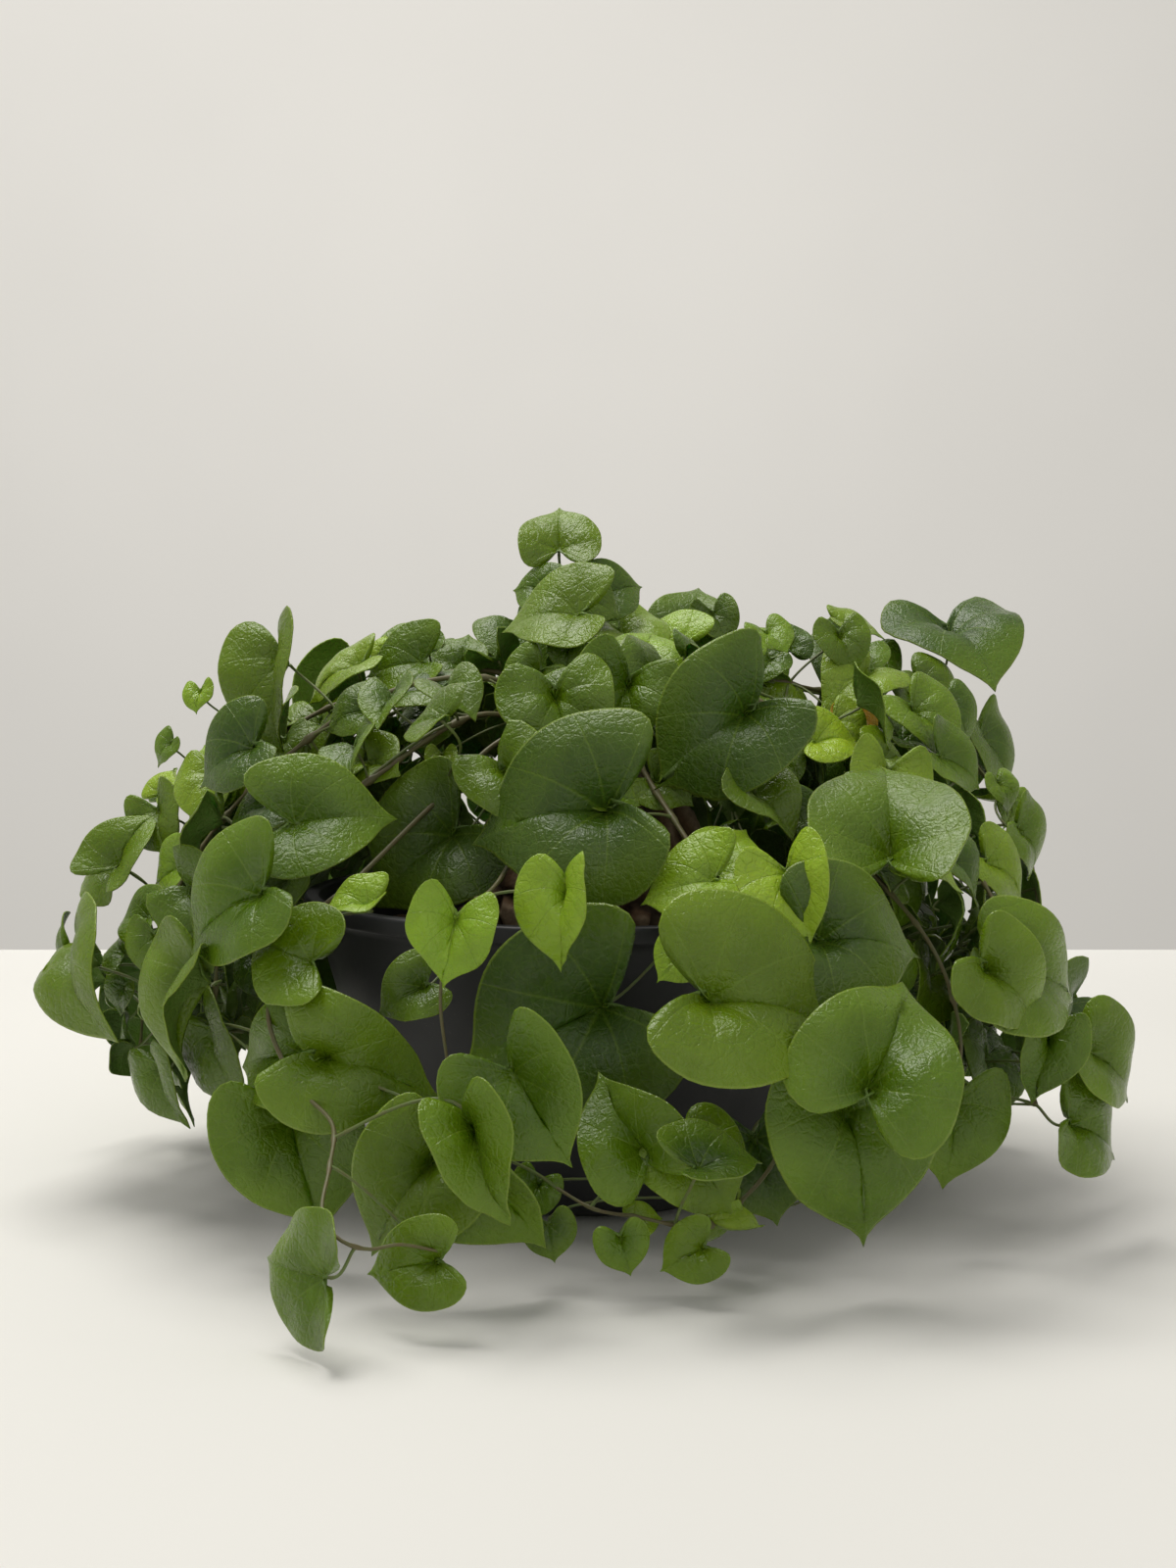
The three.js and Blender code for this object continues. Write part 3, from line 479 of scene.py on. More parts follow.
def leaf_skin():
    made, wire, shader = new_material("leaf_skin")
    vein, reach = attribute(wire, "vein"), attribute(wire, "reach")
    under = attribute(wire, "underside")
    off_vein = wire.math("ABSOLUTE", wire.math("SUBTRACT", vein, wire.math("ROUND", vein)))
    gap = wire.times(off_vein, reach)
    width = wire.ramp(reach, 0.0, 1.0, 0.035, 0.014, kind="LINEAR")
    main = wire.math("SMOOTH_MIN", wire.math("DIVIDE", gap, width), 1.0, 0.3)
    main = wire.math("MAXIMUM", wire.math("SUBTRACT", 1.0, main), 0.0)
    meshes = {"Vector": object_place(wire), "Scale": NET_SCALE}
    net = wire.ramp(wire.shade("TexVoronoi", meshes, feature="DISTANCE_TO_EDGE"), 0.0, 0.12, 1.0, 0.0)
    rim = wire.ramp(reach, 0.978, 0.992)

    age = wire.times(wire.math("SUBTRACT", noise(wire, 55.0), 0.5), 0.25, attribute(wire, "age"))
    green = wire.blend(wire.ramp(age, 0.0, 0.5, kind="LINEAR"), YOUNG, GROWN)
    green = wire.blend(wire.ramp(age, 0.5, 1.0, kind="LINEAR"), green, OLD)
    green = wire.blend(wire.ramp(age, 1.3, 1.9, kind="LINEAR"), green, DYING)
    tint = attribute(wire, "tint")
    brighter = wire.times(tint, 0.3, 1.0)
    brighter = wire.times(wire.math("SUBTRACT", noise(wire, 160.0, 3.0), 0.5), 0.5, brighter)
    hue = wire.times(tint, -0.018, 0.5)
    green = wire.shade("HueSaturation", {"Hue": hue, "Value": brighter, "Color": green})
    # The blade is lightened with the young colour towards its rim, in broad patches.
    lighter_outwards = wire.times(wire.ramp(reach, 0.35, 1.0), wire.ramp(noise(wire, 28.0), 0.3, 0.7))
    green = wire.blend(wire.times(lighter_outwards, 0.3), green, YOUNG)
    green = wire.blend(wire.times(net, 0.1), green, VEIN_COLOUR)
    green = wire.blend(wire.times(main, 0.38), green, VEIN_COLOUR)
    green = wire.blend(wire.times(under, 0.55), green, UNDERSIDE)
    green = wire.blend(wire.times(rim, 0.4), green, RIM_COLOUR)

    pebbles = noise(wire, PEBBLE_SCALE, 3.0, 0.62)
    patches = noise(wire, 70.0, 2.0)
    gloss = wire.ramp(patches, 0.35, 0.65, 0.16, 0.32)
    gloss = wire.times(under, 0.2, gloss)
    height = wire.times(pebbles, 0.9, wire.times(main, -0.2))
    height = wire.times(net, -0.15, height)
    wire.plug(shader, {
        "Base Color": green, "Roughness": gloss, "Normal": wire.bump(height, 0.75, 0.0007),
        "Specular IOR Level": LEAF_SHEEN, "Subsurface Weight": 0.12, "Subsurface Radius": (0.4, 1.0, 0.15),
        "Subsurface Scale": 0.0012,
    })
    return made


leaf_finish = leaf_skin()

# %% [markdown]
# Every leaf of the frame becomes a bent blade in its own place. A leaf that is a node of its own is a piece
# of its own here as well, and the record's slot of a node says how old the leaf is. The small ones, which
# the frame joins to a shoot, come later.

# %% Grow the blades
AGES = {"leaf_young": 0.05, "leaf_grown": 0.5, "leaf_old": 0.95}
LEAST_BEND, BEND_BY_WIDTH = 1.2, 10
slot_of = {entry["node"]: entry["material_slot"] for entry in frame["record"]["subparts"]}
chance = random.Random(7)


def blade(leaf, age, pattern=fine_leaf):
    """The mesh of one leaf, in place. A large leaf is bent more than a small one."""
    bend = LEAST_BEND + BEND_BY_WIDTH * leaf["width"]
    mesh = grow(pattern, bend_leaf, {
        "Width": leaf["width"],
        "Fold left": leaf["fold_left"] * bend, "Fold right": leaf["fold_right"] * bend,
        "Curl": leaf["curl"] * bend, "Dome": chance.uniform(0.03, 0.09) * bend,
        "Quilt": chance.uniform(0.006, 0.016), "Ruffle": chance.uniform(0.012, 0.034) * bend,
        "Lobes": chance.uniform(0.4, 1.6) * bend, "Seed": chance.uniform(0, 100), "Age": age,
        "Tint": chance.uniform(-0.5, 0.5), "Finish": leaf_finish,
    })
    turn = Matrix((leaf["side"], leaf["tip"], leaf["normal"])).transposed().to_4x4()
    mesh.transform(Matrix.Translation(leaf["hub"]) @ turn)
    return mesh


def joined(name, meshes):
    """One mesh out of many."""
    work = bmesh.new()
    for mesh in meshes:
        work.from_mesh(mesh)
    return settled(work, name)


for node, found in leaves.items():
    if node.startswith("leaf_"):
        slot = slot_of[node]
        piece(node.replace("leaf", "blade"), blade(found[0], AGES[slot]), slot, node)


# %% [markdown]
# ## Stems and stalks
# The shoots are thin wiry vines. The frame draws them as coarse tubes along the routes below, so the same
# routes are laid again here, as lines that start from a knot on the tuber's crown. The distance from each
# line to the frame's own skin shows that the two agree.

# %% The vines' routes, in millimetres, from the knot on the tuber's crown
ROUTES = {
    "front": [
        [(-4, -28, 134), (-14, -50, 117), (-24, -76, 99), (-34, -98, 91), (-37, -111, 75), (-35, -113, 56)],
        [(8, -30, 136), (20, -52, 119), (34, -77, 99), (44, -97, 88), (51, -107, 72), (53, -106, 50),
         (47, -104, 30), (35, -110, 19), (27, -120, 18), (12, -121, 21), (2, -118, 22), (-8, -112, 26)],
        [(-22, -24, 135), (-44, -38, 116), (-63, -60, 98), (-76, -80, 87), (-83, -91, 68), (-74, -108, 52),
         (-63, -124, 45), (-62, -140, 38), (-62, -155, 31), (-57, -164, 27), (-51, -161, 24), (-44, -157, 24),
         (-35, -152, 21)],
    ],
    "left": [
        [(-26, -6, 150), (-58, -12, 147), (-90, -20, 126), (-111, -28, 102), (-122, -30, 78),
         (-124, -26, 50)],
        [(-24, 14, 151), (-56, 22, 149), (-92, 22, 134), (-116, 14, 112), (-129, 8, 90), (-132, 2, 66),
         (-133, -4, 42)],
        [(-30, -20, 141), (-60, -36, 124), (-86, -48, 104), (-100, -56, 82), (-102, -60, 58)],
    ],
    "right": [
        [(28, -6, 150), (62, -16, 138), (92, -28, 118), (110, -40, 96), (119, -50, 74), (123, -57, 52),
         (122, -60, 36)],
        [(30, 12, 151), (66, 24, 147), (100, 34, 136), (122, 30, 120), (133, 16, 100), (135, 0, 78)],
        [(26, -24, 141), (52, -46, 123), (76, -66, 101), (92, -80, 80), (98, -84, 58), (96, -80, 38)],
    ],
    "back": [
        [(-5, 8, 148), (-9, 14, 162), (-4, 20, 170)],
        [(14, 30, 149), (30, 66, 141), (44, 96, 116), (52, 112, 88), (54, 116, 56)],
        [(-12, 32, 149), (-28, 66, 141), (-44, 96, 116), (-52, 110, 86), (-52, 112, 54)],
        [(2, 36, 150), (2, 74, 139), (4, 104, 112), (4, 120, 82), (4, 122, 50)],
        [(32, 26, 149), (66, 54, 137), (94, 76, 110), (104, 84, 80), (106, 84, 50)],
        [(-32, 26, 149), (-66, 52, 135), (-94, 72, 108), (-102, 80, 78), (-104, 80, 48)],
    ],
}
KNOT_OFFSETS = {"front": (0, -5.2), "left": (-5.2, 0), "right": (5.2, 0), "back": (0, 5.2)}
KNOT_RISE = 3.3  # middle of a knot above the crown
VINE_STEP = 2.0
BUD_SPACING = 11  # from one leaf to the next along a vine, in millimetres

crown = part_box("caudex")[1].z / MM
vines = {}
for group, routes in ROUTES.items():
    knot = (*KNOT_OFFSETS[group], crown + KNOT_RISE)
    vines[group] = [smooth_route([knot, *route], VINE_STEP) * MM for route in routes]
shoot_skins = {
    group: BVHTree.FromPolygons(
        [v.co for v in frame["nodes"]["shoot_" + group].data.vertices],
        [tuple(p.vertices) for p in frame["nodes"]["shoot_" + group].data.polygons],
    )
    for group in ROUTES
}
for group, lines in vines.items():
    off = max(shoot_skins[group].find_nearest(Vector(point))[3] for line in lines for point in line)
    print(f"{group}: {len(lines)} vines, at most {off / MM:.2f} mm from the frame's skin")

# %% [markdown]
# A leaf stalk runs from the back of its blade to the nearest vine that leaves it a clear way. The frame has
# already found that way, so each possible stalk is held against the frame's own shoots and the one that lies
# inside them is kept.

# %% Find each leaf's stalk
BLADE_DEPTH = 0.0008
STALK_LEANS = [math.radians(lean) for lean in (20, 45, 0, 65, 80, 95)]
STALK_CLEAR = 0.0014  # where the stalk of a separate leaf ends in the frame, behind the blade
NEAREST_BUDS = 50
BEHIND_BLADE = 0.0019  # a bud this far behind a blade can reach its back
STALK_POINTS = 15
PROBED_POINTS = (4, 7, 10, 13)  # the points of a stalk that are held against the frame


def bezier(a, b, c, d, count):
    steps = np.linspace(0, 1, count)[:, None]
    return (1 - steps)**3 * a + 3 * steps * (1 - steps)**2 * b + 3 * steps**2 * (1 - steps) * c + steps**3 * d


buds = []
for group, lines in vines.items():
    for line in lines:
        length = (len(line) - 1) * VINE_STEP
        count = max(1, round(length / BUD_SPACING))
        for stop in range(2, count + 1):
            place = stop / count * (len(line) - 1)
            low = min(int(place), len(line) - 2)
            point = line[low] + (line[low + 1] - line[low]) * (place - low)
            buds.append((group, point))


def stalk_way(start, leaf, lean, own):
    """The places along a stalk from a bud to the back of a blade."""
    hub, normal, tip = (np.array(leaf[key]) for key in ("hub", "normal", "tip"))
    arrive = -math.cos(lean) * normal - math.sin(lean) * tip
    inside = hub - normal * 0.55 * BLADE_DEPTH + tip * 1.1 * BLADE_DEPTH
    end = hub + arrive * STALK_CLEAR if own else inside
    length = np.linalg.norm(end - start)
    leave = start + (end - start) * 0.3 + np.array([0, 0, 0.12 * length])
    return bezier(start, leave, end + arrive * 0.4 * length, end, STALK_POINTS)


def find_stalk(leaf, own):
    """The bud and the way that fit the frame best, with how far off they are."""
    hub, normal = np.array(leaf["hub"]), np.array(leaf["normal"])
    behind = [bud for bud in buds if (bud[1] - hub) @ normal < -BEHIND_BLADE] or list(buds)
    behind.sort(key=lambda bud: np.linalg.norm(bud[1] - hub + normal * 0.01))
    best = (1.0, behind[0][0], stalk_way(behind[0][1], leaf, STALK_LEANS[0], own))
    for group, start in behind[:NEAREST_BUDS]:
        for lean in STALK_LEANS:
            way = stalk_way(start, leaf, lean, own)
            off = max(shoot_skins[group].find_nearest(Vector(way[i]))[3] for i in PROBED_POINTS)
            if off < best[0]:
                best = (off, group, way)
    return best


stalks, offs = [], []
for node, found in leaves.items():
    for leaf in found:
        off, group, way = find_stalk(leaf, node.startswith("leaf_"))
        offs.append(off / MM)
        stalks.append((group, way, leaf))
offs.sort()
print(len(stalks), f"stalks; nine tenths within {offs[int(0.9 * len(offs))]:.2f} mm, worst {offs[-1]:.2f}")

# %% [markdown]
# The real mop is thicker than the frame, which carries only the leaves that make its outline. Small leaves
# fill it from within: places are tried all round just under the outer leaves, a golden angle apart, and one
# is kept where no other leaf is near and a bud is close enough to reach it.

# %% Leaves that fill the mop
GOLDEN_ANGLE = math.radians(137.508)
MOP_MIDDLE = 62 * MM
MOP_REACH = 133 * MM
MOP_RISE = 104 * MM
INNER_TRIES = 2600
INNER_SPACING = 14 * MM
SMALL_LEAF = 26 * MM
LONGEST_STALK = 46 * MM
LEAF_MIDDLE = 0.25  # from the hub towards the tip, in leaf widths
LEAST_RISE = -0.22  # the sine of the lowest angle at which an inner leaf is tried
DEPTHS = (0.72, 0.97)  # how far out an inner leaf lies, as a share of the mop
WIDTHS = (18, 34)
FOLDS = (0.1, 0.5)
BEHIND_LEAF = 3 * MM  # a leaf this far behind the middle of another one may still cut through it
rim_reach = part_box("pot")[1].x
rim_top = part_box("pot")[1].z


def in_window(x, y, z):
    """True where the mop stays open: below the rim in front, and over the bare mix before the tuber."""
    low_front = y < -55 * MM and z < 106 * MM
    over_mix = -54 * MM < x < -20 * MM and y < -12 * MM and z < 138 * MM
    in_pot = math.hypot(x, y) < rim_reach + 7 * MM and z < rim_top + 14 * MM
    return low_front or over_mix or in_pot


def covers(middle, width, leaf):
    """True where a leaf of this width would hide part of a leaf of the frame."""
    away = middle - leaf["hub"] - leaf["tip"] * LEAF_MIDDLE * leaf["width"]
    ahead = away.dot(leaf["normal"])
    beside = (away - ahead * leaf["normal"]).length
    if leaf["width"] < SMALL_LEAF:
        return -BEHIND_LEAF < ahead < 25 * MM and beside < 0.35 * (leaf["width"] + width)
    return -BEHIND_LEAF < ahead < 45 * MM and beside < 0.5 * leaf["width"] + 0.25 * width


frame_leaves = [leaf for found in leaves.values() for leaf in found]
taken = [leaf["hub"] + leaf["tip"] * LEAF_MIDDLE * leaf["width"] for leaf in frame_leaves]
inner_leaves = []
for attempt in range(INNER_TRIES):
    around = attempt * GOLDEN_ANGLE
    rise = math.asin(chance.uniform(LEAST_RISE, 1.0))
    depth = chance.uniform(*DEPTHS)
    reach = depth * MOP_REACH * math.cos(rise)
    height = MOP_MIDDLE + depth * math.sin(rise) * (MOP_RISE if rise > 0 else MOP_REACH)
    middle = Vector((reach * math.sin(around), -reach * math.cos(around), height))
    width = chance.uniform(*WIDTHS) * MM
    facing = around + chance.uniform(-0.45, 0.45)
    lean = 0.2 + 0.75 * max(0, rise) + chance.uniform(-0.3, 0.3)
    turn = chance.uniform(-1.5, 1.5)
    folds = [chance.uniform(*FOLDS) for _ in range(3)]
    if in_window(*middle) or any((middle - other).length < INNER_SPACING for other in taken):
        continue
    if any(covers(middle, width, leaf) for leaf in frame_leaves):
        continue
    sine, cosine = math.sin(lean), math.cos(lean)
    normal = Vector((math.sin(facing) * cosine, -math.cos(facing) * cosine, sine))
    down = Vector((sine * math.sin(facing), -sine * math.cos(facing), -cosine))
    tip = down * math.cos(turn) + normal.cross(down) * math.sin(turn)
    hub = middle - tip * LEAF_MIDDLE * width
    group, start = min(buds, key=lambda bud: np.linalg.norm(bud[1] - np.array(hub)))
    if np.linalg.norm(start - np.array(hub)) > LONGEST_STALK:
        continue
    taken.append(middle)
    inner_leaves.append({
        "hub": hub, "tip": tip, "normal": normal, "side": tip.cross(normal), "width": width,
        "fold_left": folds[0], "fold_right": folds[1], "curl": folds[2] * 0.6, "group": group,
    })
    stalks.append((group, stalk_way(start, inner_leaves[-1], STALK_LEANS[0], False), inner_leaves[-1]))
print(len(inner_leaves), "leaves fill the mop")

# %% [markdown]
# The small leaves of a shoot make one piece, and the leaves that fill the mop make another, with a coarser
# pattern because little of them shows. No slot says how old these are, so chance picks an age for each. The
# leaves nearest to a few chosen places, such as the ends of the shoots, are young, and one is dying.

# %% Small leaves of each shoot
USUAL_AGES = (0.3, 0.4, 0.5, 0.55, 0.65, 0.85)
YOUNG_AGE, DYING_AGE = 0.08, 2.0
INNER_LEAVES_OLDER = 0.1
DYING_PLACE = (72, 10, 145)
YOUNG_PLACES = [
    (-33, -115, 94), (-62, -108, 90), (25, -112, 86), (-61, -95, 96), (86, -70, 101), (63, -25, 131),
    (34, -76, 102), (31, -74, 101), (60, -18, 135), (16, 0, 151), (46, 10, 151), (-130, 20, 115),
    (-113, 15, 127), (-63, 30, 158), (40, -100, 19), (28, 26, 160), (-116, -20, 97), (-116, 10, 146),
]
for leaf in frame_leaves + inner_leaves:
    leaf["age"] = chance.choice(USUAL_AGES)
for place, age in [(place, YOUNG_AGE) for place in YOUNG_PLACES] + [(DYING_PLACE, DYING_AGE)]:
    nearest = min(frame_leaves, key=lambda leaf: (leaf["hub"] - Vector(place) * MM).length)
    nearest["age"] = age
for group in ROUTES:
    node = "shoot_" + group
    inner = [leaf for leaf in inner_leaves if leaf["group"] == group]
    grown = {
        "small_leaves_": [blade(leaf, leaf["age"]) for leaf in leaves[node]],
        "inner_leaves_": [blade(leaf, leaf["age"] + INNER_LEAVES_OLDER, coarse_leaf) for leaf in inner],
    }
    for label, blades in grown.items():
        made = piece(label + group, joined(label + group, blades), "leaf_grown", node)
        made.data.materials.append(leaf_finish)
        print(made.name, "has", len(blades), "blades and", len(made.data.polygons), "faces")

# %% [markdown]
# Mesh to Curve and Curve to Mesh sweep a round section along every vine and stalk at once, and the thickness
# travels with each point as an attribute. A vine thins towards its end and swells a little wherever a leaf
# leaves it. A stalk is thicker at both of its ends.

# %% A tree that sweeps round stems along lines
STEM_RADIUS = 0.8 * MM
THICKEST = 1.7  # the most a swelling may widen a vine, against a plain stem
TIP_RADIUS = 0.4 * MM
STALK_RADIUS = 0.42 * MM
BUD_SWELL = 0.55  # how much thicker a vine is where a leaf leaves it
BUD_LENGTH = 1.6 * MM
KNOT_RADIUS = 3 * MM
SEAT_DEPTH, SEAT_AHEAD = 0.00025, 0.0006  # where a stalk ends, from the hub of its blade


def sweep_tree():
    tree, wire, sizes = geometry_tree("sweep_stem", {"Sides": 8, "Finish": "Material"})
    lines = wire.shape("MeshToCurve", {"Mesh": sizes["Geometry"]})
    section = wire.shape("CurvePrimitiveCircle", {"Resolution": sizes["Sides"], "Radius": 1.0})
    sweep = {"Curve": lines, "Profile Curve": section, "Scale": wire.named("thick"), "Fill Caps": True}
    wire.deliver(wire.shape("CurveToMesh", sweep), sizes["Finish"])
    return tree


sweep_stem = sweep_tree()


def lines_mesh(name, lines):
    """Loose lines, each point with its own thickness, as one mesh of edges."""
    corners, edges, thick, tone = [], [], [], []
    for line, radii, colour in lines:
        first = len(corners)
        corners += [tuple(point) for point in line]
        edges += [(first + i, first + i + 1) for i in range(len(line) - 1)]
        thick += list(radii)
        tone += [colour] * len(line)
    return mesh_of(name, corners, edges, [], thick=thick, tone=tone)


def vine_radii(line, starts):
    """A vine's radius at each of its points, with a swelling at every place a stalk starts from."""
    share = np.linspace(0, 1, len(line))
    radii = STEM_RADIUS + (TIP_RADIUS - STEM_RADIUS) * share**1.5
    for start in starts:
        gap = np.linalg.norm(line - start, axis=1)
        radii += radii * BUD_SWELL * np.exp(-((gap / BUD_LENGTH) ** 2))
    return np.minimum(radii, THICKEST * STEM_RADIUS)


def stalk_line(way, leaf):
    """A stalk that thickens at both of its joints and ends in the underside of its blade."""
    hub, normal, tip = (np.array(leaf[key]) for key in ("hub", "normal", "tip"))
    seat = hub - normal * SEAT_DEPTH + tip * SEAT_AHEAD
    line = np.vstack([way, seat])
    share = np.linspace(0, 1, len(line))
    at_vine, at_blade = np.exp(-((share / 0.08) ** 2)), np.exp(-(((1 - share) / 0.12) ** 2))
    radii = STALK_RADIUS * (1 + 0.35 * at_vine + 0.3 * at_blade)
    radii[-1] *= 0.6
    return line, radii * min(1.0, 0.55 + leaf["width"] / 0.06)


# %% [markdown]
# The skin of a vine is satin, brown and woody with a little green in it. Stalks keep a lighter green. One
# value on each line says which it is.

# %% Stem skin, and the swept shoots
WOODY, FRESH, STREAKS = (0.105, 0.085, 0.035), (0.11, 0.17, 0.035), (0.13, 0.075, 0.035)
VINE_TONE, STALK_TONE = 0.25, 0.9  # 0 is woody and 1 is fresh


def stem_skin():
    made, wire, shader = new_material("stem_skin")
    streaks = noise(wire, 420.0, 3.0, 0.6)
    colour = wire.blend(attribute(wire, "tone"), WOODY, FRESH)
    colour = wire.blend(wire.ramp(streaks, 0.35, 0.7, 0.0, 0.45), colour, STREAKS)
    gloss = wire.times(streaks, 0.3, 0.35)
    bump = wire.bump(streaks, 0.5, 0.0002)
    wire.plug(shader, {"Base Color": colour, "Roughness": gloss, "Normal": bump})
    return made


stem_finish = stem_skin()
for group, lines in vines.items():
    own_stalks = [(way, leaf) for owner, way, leaf in stalks if owner == group]
    starts = [way[0] for way, _ in own_stalks]
    strands = [(line, vine_radii(line, starts), VINE_TONE) for line in lines]
    strands += [(*stalk_line(way, leaf), STALK_TONE) for way, leaf in own_stalks]
    mesh = grow(lines_mesh("stems_" + group, strands), sweep_stem, {"Sides": 8, "Finish": stem_finish})
    knot = bmesh.new()
    knot.from_mesh(mesh)
    centre = Matrix.Translation(Vector(lines[0][0]))
    bmesh.ops.create_icosphere(knot, subdivisions=3, radius=KNOT_RADIUS, matrix=centre)
    knot.to_mesh(mesh)
    knot.free()
    smooth(mesh)
    made = piece("stems_" + group, mesh, "stem", "shoot_" + group)
    print(made.name, "has", len(strands), "strands and", len(mesh.polygons), "faces")

# %% [markdown]
# ## The caudex
# The tuber gives the plant its name: its bark splits into many-sided corky plates like the sole of an
# elephant's foot, each stepped in thin layers, with deep cracks between. A Voronoi pattern is made of
# just such cells. The tree below pushes the skin in along the cell edges and keeps the height as an
# attribute, which the bark's finish reads back to paint shade into the cracks, near black at their bottoms.

# %% Corky plates
PLATE_WARP = 0.006  # how far noise bends the edges of the plates
TUBER_VOXEL = 0.75 * MM
# The first colour is painted shade for the bottoms of the cracks, near black.
CRACK_SHADE, PLATE, WORN_PLATE = (0.02, 0.012, 0.007), (0.16, 0.095, 0.05), (0.33, 0.25, 0.165)
DUST, GRAIN = (0.21, 0.17, 0.12), (0.09, 0.055, 0.03)


def cork_tree():
    settings = {"Plate size": 0.013, "Crack depth": 0.0035, "Layers": 4.0, "Finish": "Material"}
    tree, wire, sizes = geometry_tree("cork_plates", settings)
    place = wire.shape("InputPosition")
    warp = wire.add("ShaderNodeTexNoise", {"Vector": place, "Scale": 60.0, "Detail": 2.0}).outputs["Color"]
    warped = wire.shade("VectorMath", {0: place, 1: wire.stretch(warp, PLATE_WARP)}, operation="ADD")
    density = wire.math("DIVIDE", 1.0, sizes["Plate size"])
    cells = wire.shade("TexVoronoi", {"Vector": warped, "Scale": density}, feature="DISTANCE_TO_EDGE")
    rise = wire.ramp(cells, 0.0, 0.3)
    layered = wire.times(rise, sizes["Layers"])
    whole = wire.math("FLOOR", layered)
    step = wire.ramp(wire.math("SUBTRACT", layered, whole), 0.0, 0.35)
    layered = wire.math("DIVIDE", wire.math("ADD", whole, step), sizes["Layers"])
    height = wire.times(layered, 0.55, wire.times(rise, 0.45))
    grain = wire.shade("TexNoise", {"Vector": place, "Scale": 300.0, "Detail": 3.0})
    push = wire.math("SUBTRACT", wire.times(grain, 0.18, height), 1.0)
    normal = wire.shape("InputNormal")
    deep = wire.times(push, sizes["Crack depth"])
    kept = wire.keep(sizes["Geometry"], "height", height)
    plates = wire.shape("SetPosition", {"Geometry": kept, "Offset": wire.stretch(normal, deep)})
    wire.deliver(plates, sizes["Finish"])
    return tree


def bark_skin():
    made, wire, shader = new_material("cork_bark")
    height = attribute(wire, "height")
    grain = noise(wire, 500.0, 4.0, 0.65)
    patches = noise(wire, 45.0)
    # The low bottoms of the cracks are painted near black: painted shade.
    colour = wire.blend(wire.ramp(height, 0.05, 0.5), CRACK_SHADE, PLATE)
    colour = wire.blend(wire.ramp(height, 0.5, 1.0, 0.0, 0.8), colour, WORN_PLATE)
    colour = wire.blend(wire.ramp(patches, 0.45, 0.7, 0.0, 0.5), colour, DUST)
    colour = wire.blend(wire.ramp(grain, 0.3, 0.75, 0.0, 0.55), colour, GRAIN)
    bump = wire.bump(grain, 0.7, 0.0005)
    wire.plug(shader, {"Base Color": colour, "Normal": bump, "Roughness": 0.9, "Specular IOR Level": 0.2})
    return made


def remeshed(name, source, voxel):
    """An even closed mesh over a mesh."""
    block = placed(name, source)
    remesh = block.modifiers.new("even", "REMESH")
    remesh.mode = "VOXEL"
    remesh.voxel_size = voxel
    block.modifiers.new("soft", "SMOOTH").iterations = 6
    return evaluated(block)


plain_tuber = settled(merged("caudex"), "tuber")
tuber = grow(remeshed("tuber", plain_tuber, TUBER_VOXEL), cork_tree(), {"Finish": bark_skin()})
piece("corky_tuber", tuber, "bark", "caudex")
print("tuber has", len(tuber.polygons), "faces")

# %% [markdown]
# ## The potting mix
# The mix is a rough crumbly bed, a little lower at its edge. The bed is a disc with noise in its height, and
# a Geometry Nodes tree strews bark chips and grit over it at random, each turned and sized by chance.

# %% The bed
DAMP, DRY = (0.022, 0.014, 0.009), (0.13, 0.08, 0.045)
# The second colour is painted shade for the crevices between crumbs.
PALE_BIT, CREVICE_SHADE = (0.32, 0.27, 0.2), (0.035, 0.022, 0.014)
BED_SIDES = 150
soil_low, soil_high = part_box("soil")
soil_radius = soil_high.x
soil_top = soil_high.z - 1 * MM


def lathe(name, profile, around):
    """A closed shell of revolution from a profile that starts and ends on the axis."""
    corners, faces = [], []
    inner = [(r, z) for r, z in profile if r > 1e-9]
    for i in range(around):
        turn = 2 * math.pi * i / around
        corners += [(r * math.cos(turn), r * math.sin(turn), z) for r, z in inner]
    low, high = len(corners), len(corners) + 1
    corners += [(0, 0, profile[0][1]), (0, 0, profile[-1][1])]
    for i in range(around):
        here, there = i * len(inner), (i + 1) % around * len(inner)
        faces += [(here + k, there + k, there + k + 1, here + k + 1) for k in range(len(inner) - 1)]
        faces += [(low, there, here), (high, here + len(inner) - 1, there + len(inner) - 1)]
    return mesh_of(name, corners, [], faces)


bed_profile = [(0, soil_low.z), (37 * MM, soil_low.z), (50 * MM, 22 * MM), (64 * MM, 46 * MM)]
bed_profile += [(soil_radius - 1.2 * MM, soil_top - 6 * MM), (soil_radius - 0.4 * MM, soil_top - 3.4 * MM)]
for share in np.linspace(0.01, 0.99, 46):
    bed_profile.append((soil_radius * (1 - share), soil_top - 2.6 * MM * (1 - share) ** 3))
bed_profile.append((0, soil_top))
bed = lathe("bed", bed_profile, BED_SIDES)


